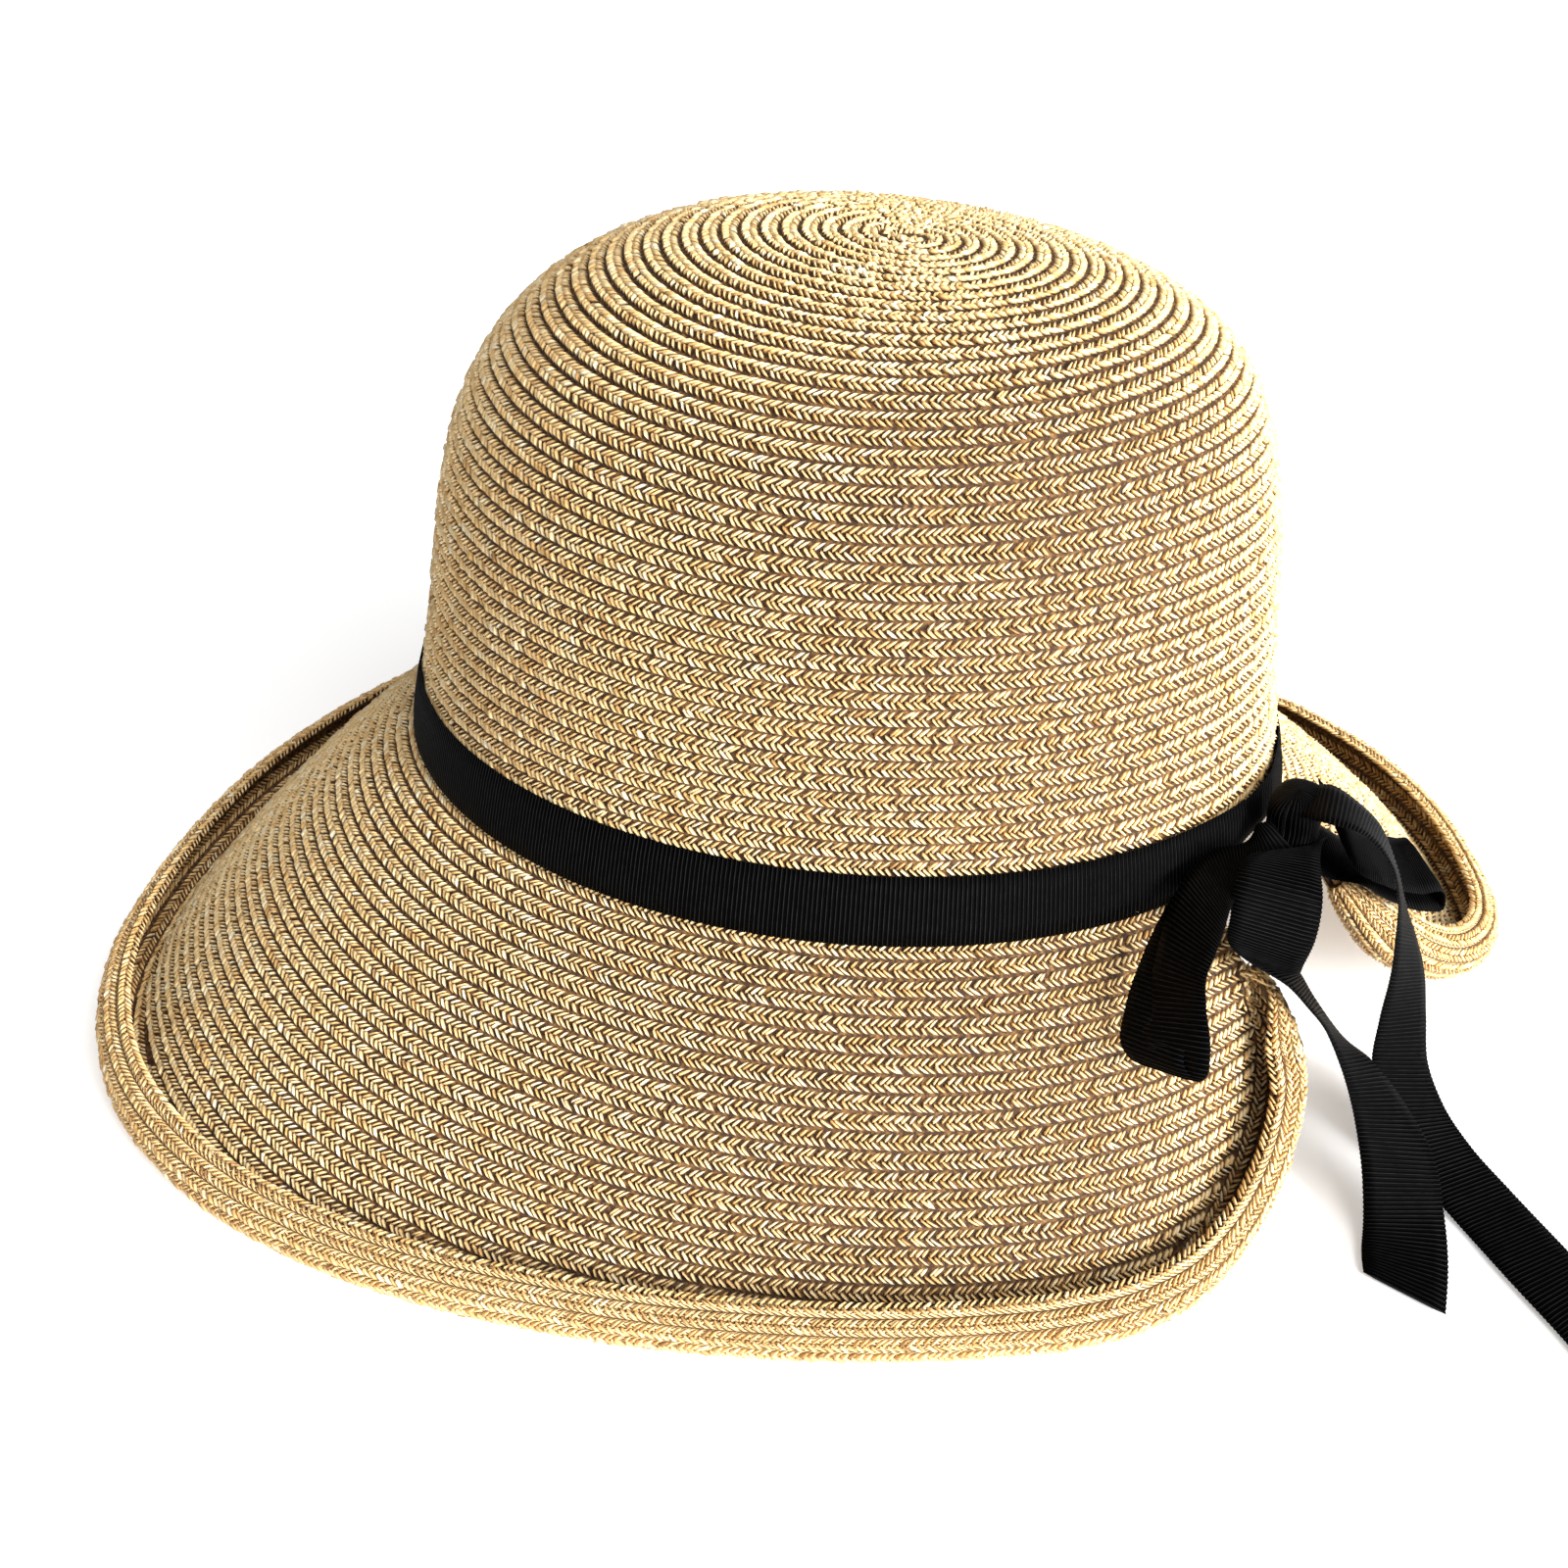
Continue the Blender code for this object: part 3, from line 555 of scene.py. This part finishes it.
tailBackTable = (
    (0.2100, 1.1480, 1.0350, -0.998, 0.067, 0.000, 0.66), (0.2664, 1.2305, 1.0849, -0.992, -0.087, -0.087, 0.98),
    (0.2569, 1.2898, 1.0539, -0.963, -0.022, -0.270, 1.00), (0.2296, 1.3351, 0.9913, -0.928, 0.000, -0.373, 1.00),
    (0.2462, 1.3789, 0.9170, -0.828, 0.027, -0.560, 1.00), (0.2397, 1.4107, 0.8048, -0.770, 0.083, -0.633, 1.00),
    (0.2065, 1.4358, 0.6691, -0.779, 0.236, -0.581, 1.00), (0.2071, 1.4570, 0.5452, -0.807, 0.368, -0.461, 1.00),
    (0.2178, 1.4715, 0.3717, -0.773, 0.543, -0.329, 1.00), (0.2646, 1.4898, 0.2416, -0.670, 0.676, -0.308, 1.00),
    (0.3151, 1.5365, 0.1363, -0.598, 0.779, -0.187, 1.00), (0.3904, 1.6185, 0.0496, -0.702, 0.713, 0.000, 1.00),
    (0.4895, 1.7264, 0.0124, -0.752, 0.659, 0.000, 1.00), (0.6497, 1.8570, 0.0124, -0.765, 0.644, 0.000, 1.00),
    (0.8253, 2.0012, 0.0124, -0.820, 0.572, 0.000, 1.00), (0.8995, 2.0682, 0.0124, -0.652, 0.759, 0.000, 1.08),
)
loopLeftTable = (
    (0.2943, 1.1423, 0.9665, -0.068, 0.786, -0.615, 0.56), (0.3916, 1.0941, 0.9269, 0.930, 0.316, -0.186, 0.80),
    (0.5358, 1.0488, 0.9554, 0.870, 0.492, -0.022, 1.00), (0.6539, 1.0358, 0.9492, 0.736, 0.676, -0.033, 1.00),
    (0.7452, 1.0305, 0.9114, 0.659, 0.735, 0.159, 1.00), (0.8194, 1.0290, 0.8556, 0.609, 0.708, 0.357, 1.00),
    (0.8995, 1.0425, 0.7875, 0.418, 0.743, 0.523, 1.00), (0.9624, 1.0603, 0.7131, 0.340, 0.856, 0.390, 1.00),
    (0.9802, 1.0637, 0.6574, 0.374, 0.864, 0.336, 1.00), (0.9677, 1.0464, 0.6202, 0.403, 0.855, 0.326, 1.00),
    (0.9588, 1.0194, 0.6450, 0.429, 0.852, 0.302, 1.00), (0.8989, 1.0049, 0.7224, 0.435, 0.842, 0.319, 1.00),
    (0.7909, 1.0040, 0.8030, 0.502, 0.812, 0.298, 1.00), (0.6645, 1.0107, 0.8643, 0.540, 0.822, 0.182, 0.88),
    (0.5120, 1.0305, 0.8922, 0.448, 0.879, -0.165, 0.60), (0.2979, 1.1259, 0.8984, -0.199, 0.877, -0.438, 0.28),
)
loopRightTable = (
    (0.1460, 1.2059, 1.0087, 0.461, 0.532, -0.710, 0.66), (0.1798, 1.2753, 0.9176, 0.954, 0.287, -0.081, 0.98),
    (0.0415, 1.3418, 0.7819, 0.925, 0.352, -0.143, 1.00), (-0.1246, 1.3992, 0.6636, 0.838, 0.502, -0.215, 1.00),
    (-0.2290, 1.4397, 0.5954, 0.725, 0.643, -0.247, 1.00), (-0.2391, 1.4440, 0.5520, 0.677, 0.649, -0.347, 1.00),
    (-0.1590, 1.4045, 0.5836, 0.725, 0.593, -0.351, 1.00), (-0.0718, 1.3457, 0.6456, 0.882, 0.449, -0.142, 1.00),
    (0.0516, 1.2849, 0.7565, 0.932, 0.363, 0.019, 1.00), (0.2050, 1.1800, 0.8950, 0.564, 0.529, -0.634, 0.80),
)


def ribbonEdges(rows, count):
    # both edges of a ribbon from its table
    rows = np.asarray(rows, float)
    spans = np.array([hat["halfWidth"], hat["halfLength"], hat["neckHeight"]])
    keyed = np.concatenate([rows[:, :1], rows[:, :3] * spans, rows[:, 3:7]], axis=1)
    smooth = smoothTable(keyed, count)
    reach = unit(smooth[:, 4:7]) * smooth[:, 7:8] * ribbon["width"] / 2.0
    middle = smooth[:, 1:4] + np.array(hat["shift"])
    return middle - reach, middle + reach


def ribbonPiece(name, left, right, across=6, bow=0.0):
    # closed strip between two edges: ribs across it, scalloped edges, thinner at both edges
    middle = (left + right) / 2.0
    run = np.concatenate([[0.0], np.cumsum(np.linalg.norm(np.diff(middle, axis=0), axis=1))])
    count = max(int(run[-1] / ribbon["rib"] * 4), 8)
    wanted = np.linspace(0.0, run[-1], count)
    packed = np.concatenate([left, right], axis=1)
    packed = np.stack([np.interp(wanted, run, packed[:, column]) for column in range(6)], axis=1)
    left = packed[:, :3]
    right = packed[:, 3:]
    middle = (left + right) / 2.0
    reach = (right - left) / 2.0
    wide = np.linalg.norm(reach, axis=1)
    side = unit(reach)
    normal = unit(np.cross(np.gradient(middle, axis=0), side))
    wave = 0.5 + 0.5 * np.cos(2.0 * math.pi * wanted / ribbon["rib"])
    spread = wide + ribbon["scallop"] * (wave - 0.5) * 2.0
    parts = np.linspace(-1.0, 1.0, across + 1)
    thick = ribbon["thick"] / 2.0 * np.clip(1.25 - parts ** 8, 0.0, 1.0)
    high = thick[None] + (ribbon["ribHigh"] * wave)[:, None] * np.clip(1.2 - parts ** 12, 0.0, 1.0)[None]
    arch = (bow * (1.0 - parts ** 2))[None, :, None] * normal[:, None]
    base = middle[:, None] + side[:, None] * (spread[:, None] * parts[None])[..., None] + arch
    upper = base + normal[:, None] * high[..., None]
    lower = base - normal[:, None] * high[..., None]
    ring = np.concatenate([upper, lower[:, ::-1]], axis=1)
    around = ring.shape[1]
    index = np.arange(count * around).reshape(count, around)
    after = np.roll(index, -1, axis=1)
    quads = np.stack([index[:-1], after[:-1], after[1:], index[1:]], axis=-1).reshape(-1, 4)
    inAcross = np.concatenate([parts, parts[::-1]])
    alongCm = np.broadcast_to((wanted / ribbon["rib"])[:, None], (count, around))
    acrossCm = np.broadcast_to(inAcross[None], (count, around))
    flat = np.stack([alongCm.ravel(), acrossCm.ravel()], axis=1)
    half = across + 1
    caps = []
    for start, flip in ((0, False), ((count - 1) * around, True)):
        for step in range(across):
            four = [start + step, start + step + 1, start + around - 2 - step, start + around - 1 - step]
            caps.append(four if not flip else four[::-1])
    faces = np.concatenate([quads, np.array(caps)[:, ::-1]])
    points = ring.reshape(-1, 3)
    triangles = np.concatenate([faces[:, :3], faces[:, [0, 2, 3]]])
    if meshVolume(points - points.mean(axis=0), triangles) < 0.0:
        faces = faces[:, ::-1]
    return makePiece(name, points, faces, corners=flat[faces.ravel()])


band = {
    "nearEnd": 13.2, "farEnd": 364.6, "nearLift": 16.0, "farLift": 14.0,
    "middle": 0.775, "half": 0.775, "standOff": 0.15, "endMiddle": 0.46, "endHalf": 0.50, "endStandOff": 0.42,
}


def bandEdges():
    # the ribbon round the neck, lifted and gathered where both ends run into the knot
    degrees = np.linspace(band["nearEnd"] - 4.6, band["farEnd"] + 4.0, 361)
    azimuth = np.radians(degrees)
    near = np.clip(1.0 - (degrees - band["nearEnd"]) / band["nearLift"], 0.0, 1.0) ** 2
    far = np.clip(1.0 - (band["farEnd"] - degrees) / band["farLift"], 0.0, 1.0) ** 2
    lift = np.maximum(near, far)
    middle = band["middle"] + (band["endMiddle"] - band["middle"]) * lift
    half = band["half"] + (band["endHalf"] - band["half"]) * lift
    standOff = band["standOff"] + (band["endStandOff"] - band["standOff"]) * lift
    edges = []
    for drop in (middle - half, middle + half):
        above = np.maximum(-drop, 0.0)[:, None] * leanAxes()[2]
        edges.append(neckPoint(np.maximum(drop, 0.0), azimuth, standOff) + above)
    return edges


top, bottom = bandEdges()
ribbonBand = ribbonPiece("ribbon_round_neck", top, bottom, across=4)
loopLeft = ribbonPiece("bow_loop_left", *ribbonEdges(loopLeftTable, 240))
loopRight = ribbonPiece("bow_loop_right", *ribbonEdges(loopRightTable, 200))
tailFront = ribbonPiece("ribbon_tail_front", *ribbonEdges(tailFrontTable, 240))
tailBack = ribbonPiece("ribbon_tail_back", *ribbonEdges(tailBackTable, 280))

knot = {
    "centre": (0.2200, 1.1500, 0.9800),
    "radii": (0.84, 0.60, 0.80),
    "turn": 8.0,
}


def knotPiece():
    # a short band of ribbon wrapped over the bow's middle, pinched at its waist
    centre = np.array(knot["centre"]) * np.array([hat["halfWidth"], hat["halfLength"], hat["neckHeight"]])
    centre = centre + np.array(hat["shift"])
    across = 30
    around = 96
    longitude = np.linspace(0.0, 2.0 * math.pi, around, endpoint=False)
    latitude = np.linspace(-1.0, 1.0, across)[:, None]
    waist = 1.0 - 0.16 * np.exp(-(latitude / 0.45) ** 2)
    wide = (1.0 - np.abs(latitude) ** 5) ** 0.4
    folds = 1.0 + 0.03 * np.cos(4.0 * longitude + 2.0) * (1.0 - latitude ** 2)
    x = knot["radii"][0] * wide * waist * folds * np.sign(np.cos(longitude)) * np.abs(np.cos(longitude)) ** 0.8
    y = knot["radii"][1] * wide * folds * np.sign(np.sin(longitude)) * np.abs(np.sin(longitude)) ** 0.8
    z = knot["radii"][2] * latitude + 0.0 * x
    turn = math.radians(knot["turn"])
    points = np.stack([x * math.cos(turn) + y * math.sin(turn), y * math.cos(turn) - x * math.sin(turn), z], axis=-1)
    points = points + centre
    index = np.arange(across * around).reshape(across, around)
    after = np.roll(index, -1, axis=1)
    quads = np.stack([index[:-1], after[:-1], after[1:], index[1:]], axis=-1).reshape(-1, 4)
    flatU = np.broadcast_to(longitude * 38.0 / (2.0 * math.pi), (across, around))
    flatV = np.broadcast_to(latitude, (across, around))
    flat = np.stack([flatU.ravel(), flatV.ravel()], axis=1)
    faces = quads.tolist() + [index[0, ::-1].tolist(), index[-1].tolist()]
    corners = flat[np.concatenate([quads.ravel(), index[0, ::-1], index[-1]])]
    return makePiece("bow_knot", points.reshape(-1, 3), faces, corners=corners)


bowKnot = knotPiece()
print("ribbon", len(ribbonBand.data.polygons), len(tailBack.data.polygons))


# materials

def addNode(tree, kind, **settings):
    node = tree.nodes.new(kind)
    for key, value in settings.items():
        setattr(node, key, value)
    return node


def setSocket(node, key, value):
    node.inputs[key].default_value = value


def rampNode(tree, stops):
    ramp = tree.nodes.new("ShaderNodeValToRGB")
    ramp.color_ramp.elements[0].position = stops[0][0]
    ramp.color_ramp.elements[0].color = (*stops[0][1], 1.0)
    ramp.color_ramp.elements[1].position = stops[-1][0]
    ramp.color_ramp.elements[1].color = (*stops[-1][1], 1.0)
    for position, colour in stops[1:-1]:
        ramp.color_ramp.elements.new(position).color = (*colour, 1.0)
    return ramp


def strandStraw():
    # each strand has its own tone; its ends are darkened toward a dark brown as painted shade, and thin fibres run
    # over it
    material = bpy.data.materials.new("plaited straw strands")
    material.use_nodes = True
    tree = material.node_tree
    surface = tree.nodes["Principled BSDF"]
    link = tree.links.new
    tone = addNode(tree, "ShaderNodeAttribute", attribute_name="tone")
    height = addNode(tree, "ShaderNodeAttribute", attribute_name="height")
    place_ = addNode(tree, "ShaderNodeTexCoord")
    patches = addNode(tree, "ShaderNodeTexNoise")
    setSocket(patches, "Scale", 26.0)
    setSocket(patches, "Detail", 3.0)
    link(place_.outputs["Object"], patches.inputs["Vector"])
    shifted = addNode(tree, "ShaderNodeMath", operation="MULTIPLY_ADD")
    link(patches.outputs["Fac"], shifted.inputs[0])
    setSocket(shifted, 1, 0.10)
    setSocket(shifted, 2, -0.05)
    total = addNode(tree, "ShaderNodeMath", operation="ADD", use_clamp=True)
    link(tone.outputs["Fac"], total.inputs[0])
    link(shifted.outputs[0], total.inputs[1])
    ramp = rampNode(tree, [(0.0, plait["brown"]), (0.30, plait["tan"]), (0.62, plait["pale"]), (1.0, plait["cream"])])
    link(total.outputs[0], ramp.inputs["Fac"])
    # painted shade: the lower the corner of a strand, the darker its colour
    paintedEndShade = addNode(tree, "ShaderNodeMapRange")
    setSocket(paintedEndShade, "From Min", 0.0)
    setSocket(paintedEndShade, "From Max", 0.6)
    setSocket(paintedEndShade, "To Min", 0.75)
    setSocket(paintedEndShade, "To Max", 0.0)
    link(height.outputs["Fac"], paintedEndShade.inputs["Value"])
    mixed = addNode(tree, "ShaderNodeMix", data_type="RGBA")
    link(paintedEndShade.outputs["Result"], mixed.inputs["Factor"])
    link(ramp.outputs["Color"], mixed.inputs["A"])
    setSocket(mixed, "B", (*plait["gapShade"], 1.0))
    link(mixed.outputs["Result"], surface.inputs["Base Color"])
    fibres = addNode(tree, "ShaderNodeTexNoise")
    setSocket(fibres, "Scale", 2600.0)
    setSocket(fibres, "Detail", 2.0)
    link(place_.outputs["Object"], fibres.inputs["Vector"])
    bump = addNode(tree, "ShaderNodeBump")
    setSocket(bump, "Strength", 0.25)
    setSocket(bump, "Distance", 0.0002)
    link(fibres.outputs["Fac"], bump.inputs["Height"])
    link(bump.outputs["Normal"], surface.inputs["Normal"])
    setSocket(surface, "Roughness", 0.42)
    setSocket(surface, "Specular IOR Level", 0.45)
    setSocket(surface, "Sheen Weight", 0.05)
    return material


def sheetStraw():
    # plait drawn on the sheet from its UVs: V-shaped crossings in rows, with painted shade darkening the low parts
    # between them and the row edges
    material = bpy.data.materials.new("plaited straw sheet")
    material.use_nodes = True
    tree = material.node_tree
    surface = tree.nodes["Principled BSDF"]
    link = tree.links.new
    weave = addNode(tree, "ShaderNodeUVMap", uv_map="weave")
    parts = addNode(tree, "ShaderNodeSeparateXYZ")
    link(weave.outputs["UV"], parts.inputs[0])
    row = addNode(tree, "ShaderNodeMath", operation="FRACT")
    link(parts.outputs["Y"], row.inputs[0])
    centred = addNode(tree, "ShaderNodeMath", operation="SUBTRACT")
    link(row.outputs[0], centred.inputs[0])
    setSocket(centred, 1, 0.5)
    away = addNode(tree, "ShaderNodeMath", operation="ABSOLUTE")
    link(centred.outputs[0], away.inputs[0])
    slanted = addNode(tree, "ShaderNodeMath", operation="MULTIPLY_ADD")
    link(away.outputs[0], slanted.inputs[0])
    setSocket(slanted, 1, 2.4)
    link(parts.outputs["X"], slanted.inputs[2])
    cross = addNode(tree, "ShaderNodeMath", operation="PINGPONG")
    link(slanted.outputs[0], cross.inputs[0])
    setSocket(cross, 1, 0.5)
    edge = addNode(tree, "ShaderNodeMapRange", interpolation_type="SMOOTHSTEP")
    setSocket(edge, "From Min", 0.50)
    setSocket(edge, "From Max", 0.38)
    link(away.outputs[0], edge.inputs["Value"])
    strand = addNode(tree, "ShaderNodeMapRange", interpolation_type="SMOOTHSTEP")
    setSocket(strand, "From Min", 0.0)
    setSocket(strand, "From Max", 0.30)
    link(cross.outputs[0], strand.inputs["Value"])
    height = addNode(tree, "ShaderNodeMath", operation="MULTIPLY")
    link(edge.outputs["Result"], height.inputs[0])
    link(strand.outputs["Result"], height.inputs[1])
    # painted shade: colour goes from the dark gap colour where the plait lies low to pale on the crossings
    ramp = rampNode(tree, [(0.0, plait["gapShade"]), (0.35, plait["brown"]), (0.8, plait["tan"]), (1.0, plait["pale"])])
    link(height.outputs[0], ramp.inputs["Fac"])
    link(ramp.outputs["Color"], surface.inputs["Base Color"])
    bump = addNode(tree, "ShaderNodeBump")
    setSocket(bump, "Strength", 0.8)
    setSocket(bump, "Distance", 0.0006)
    link(height.outputs[0], bump.inputs["Height"])
    link(bump.outputs["Normal"], surface.inputs["Normal"])
    setSocket(surface, "Roughness", 0.62)
    return material


def gapStraw():
    # painted shade: a dark straw colour on the sheet under the strands, seen only between them, where shade falls
    material = bpy.data.materials.new("painted shade between strands")
    material.use_nodes = True
    tree = material.node_tree
    surface = tree.nodes["Principled BSDF"]
    place_ = addNode(tree, "ShaderNodeTexCoord")
    specks = addNode(tree, "ShaderNodeTexNoise")
    setSocket(specks, "Scale", 900.0)
    tree.links.new(place_.outputs["Object"], specks.inputs["Vector"])
    ramp = rampNode(tree, [(0.45, plait["gapShade"]), (0.90, plait["brown"])])
    tree.links.new(specks.outputs["Fac"], ramp.inputs["Fac"])
    tree.links.new(ramp.outputs["Color"], surface.inputs["Base Color"])
    setSocket(surface, "Roughness", 0.85)
    return material


def ribbedRibbon():
    # black ribbon: fine threads on the ribs and a faint grey painted highlight where the ribs stand up, varied by
    # noise
    material = bpy.data.materials.new("ribbed black ribbon")
    material.use_nodes = True
    tree = material.node_tree
    surface = tree.nodes["Principled BSDF"]
    link = tree.links.new
    weave = addNode(tree, "ShaderNodeUVMap", uv_map="weave")
    parts = addNode(tree, "ShaderNodeSeparateXYZ")
    link(weave.outputs["UV"], parts.inputs[0])
    rib = addNode(tree, "ShaderNodeMath", operation="PINGPONG")
    link(parts.outputs["X"], rib.inputs[0])
    setSocket(rib, 1, 0.5)
    ribTop = addNode(tree, "ShaderNodeMapRange")
    setSocket(ribTop, "From Min", 0.12)
    setSocket(ribTop, "From Max", 0.03)
    link(rib.outputs[0], ribTop.inputs["Value"])
    threads = addNode(tree, "ShaderNodeMath", operation="MULTIPLY")
    link(parts.outputs["Y"], threads.inputs[0])
    setSocket(threads, 1, 46.0)
    thread = addNode(tree, "ShaderNodeMath", operation="PINGPONG")
    link(threads.outputs[0], thread.inputs[0])
    setSocket(thread, 1, 0.5)
    place_ = addNode(tree, "ShaderNodeTexCoord")
    # noise that makes the painted highlight on the crests uneven
    sheenNoise = addNode(tree, "ShaderNodeTexNoise")
    setSocket(sheenNoise, "Scale", 420.0)
    setSocket(sheenNoise, "Detail", 3.0)
    link(place_.outputs["Object"], sheenNoise.inputs["Vector"])
    faded = addNode(tree, "ShaderNodeMath", operation="MULTIPLY")
    link(ribTop.outputs["Result"], faded.inputs[0])
    link(sheenNoise.outputs["Fac"], faded.inputs[1])
    mixed = addNode(tree, "ShaderNodeMix", data_type="RGBA")
    link(faded.outputs[0], mixed.inputs["Factor"])
    setSocket(mixed, "A", (*ribbon["black"], 1.0))
    setSocket(mixed, "B", (*ribbon["crestSheen"], 1.0))
    link(mixed.outputs["Result"], surface.inputs["Base Color"])
    relief = addNode(tree, "ShaderNodeMath", operation="MULTIPLY_ADD")
    link(thread.outputs[0], relief.inputs[0])
    setSocket(relief, 1, 0.3)
    link(ribTop.outputs["Result"], relief.inputs[2])
    bump = addNode(tree, "ShaderNodeBump")
    setSocket(bump, "Strength", 0.5)
    setSocket(bump, "Distance", 0.0002)
    link(relief.outputs[0], bump.inputs["Height"])
    link(bump.outputs["Normal"], surface.inputs["Normal"])
    setSocket(surface, "Roughness", 0.50)
    setSocket(surface, "Specular IOR Level", 0.02)
    return material


strands = strandStraw()
sheetMaterial = sheetStraw()
between = gapStraw()
black = ribbedRibbon()
strandPieces = [crownTop, crownSide, brimUpper, brimLower, rollPlaits, rollInside]
for piece in strandPieces:
    piece.data.materials.append(strands)
for piece in (crownShell, brimShell):
    piece.data.materials.append(sheetMaterial)
    piece.data.materials.append(between)
ribbonPieces = [ribbonBand, loopLeft, loopRight, tailFront, tailBack, bowKnot]
for piece in ribbonPieces:
    piece.data.materials.append(black)

for piece in strandPieces + [crownShell, brimShell]:
    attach(piece, "root")
for piece in ribbonPieces:
    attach(piece, "root")
for piece in (crownShell, crownTop, crownSide):
    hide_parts("crown")
for piece in (brimShell, brimUpper, brimLower, rollPlaits, rollInside):
    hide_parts("brim")
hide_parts("ribbon_band")
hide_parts("loop_left")
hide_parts("loop_right")
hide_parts("tail_front")
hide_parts("tail_back")
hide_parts("knot")


# floor, light and camera

studio = {
    "floor": (0.93, 0.93, 0.93),
    "floorGlow": 0.36,  # keeps the long shadows as faint as in the photo
    "sky": 0.33,
    "high": 1.7,
    "low": 7.0,
}


def aimed(place_, target):
    # rotation that looks from one place to another
    from mathutils import Vector
    return (Vector(target) - Vector(place_)).to_track_quat("-Z", "Y").to_euler()


def softLight(name, place_, strength, degrees):
    lamp = bpy.data.lights.new(name, "SUN")
    lamp.energy = strength
    lamp.angle = math.radians(degrees)
    holder = bpy.data.objects.new(name, lamp)
    holder.rotation_euler = aimed(place_, (0.0, 0.0, 0.0))
    bpy.context.scene.collection.objects.link(holder)


def studioSet():
    floorMesh = bpy.data.meshes.new("floor")
    floorMesh.from_pydata([(-6, -6, -0.0004), (6, -6, -0.0004), (6, 6, -0.0004), (-6, 6, -0.0004)], [], [(0, 1, 2, 3)])
    floor = bpy.data.objects.new("floor", floorMesh)
    bpy.context.scene.collection.objects.link(floor)
    paint = bpy.data.materials.new("pale floor")
    paint.use_nodes = True
    setSocket(paint.node_tree.nodes["Principled BSDF"], "Base Color", (*studio["floor"], 1.0))
    setSocket(paint.node_tree.nodes["Principled BSDF"], "Roughness", 0.9)
    setSocket(paint.node_tree.nodes["Principled BSDF"], "Emission Color", (1.0, 1.0, 1.0, 1.0))
    setSocket(paint.node_tree.nodes["Principled BSDF"], "Emission Strength", studio["floorGlow"])
    floorMesh.materials.append(paint)
    world = bpy.data.worlds.new("studio")
    bpy.context.scene.world = world
    world.use_nodes = True
    setSocket(world.node_tree.nodes["Background"], "Color", (1.0, 1.0, 1.0, 1.0))
    setSocket(world.node_tree.nodes["Background"], "Strength", studio["sky"])
    softLight("high light", (0.30, 0.50, 0.80), studio["high"], 35.0)
    softLight("low light", (0.34, 0.90, 0.30), studio["low"], 25.0)


def photoCamera():
    from mathutils import Matrix
    lens = bpy.data.cameras.new("photo")
    lens.lens = view["lens"]
    lens.sensor_width = 36.0
    lens.sensor_fit = "HORIZONTAL"
    holder = bpy.data.objects.new("photo", lens)
    right = np.array(view["right"])
    up = np.array(view["up"])
    back = np.cross(right, up)
    turn = np.eye(4)
    turn[:3, 0] = right
    turn[:3, 1] = up
    turn[:3, 2] = back
    turn[:3, 3] = view["place"]
    holder.matrix_world = Matrix(turn.tolist())
    bpy.context.scene.collection.objects.link(holder)
    bpy.context.scene.camera = holder


studioSet()
photoCamera()
bpy.context.scene.view_settings.view_transform = "Standard"
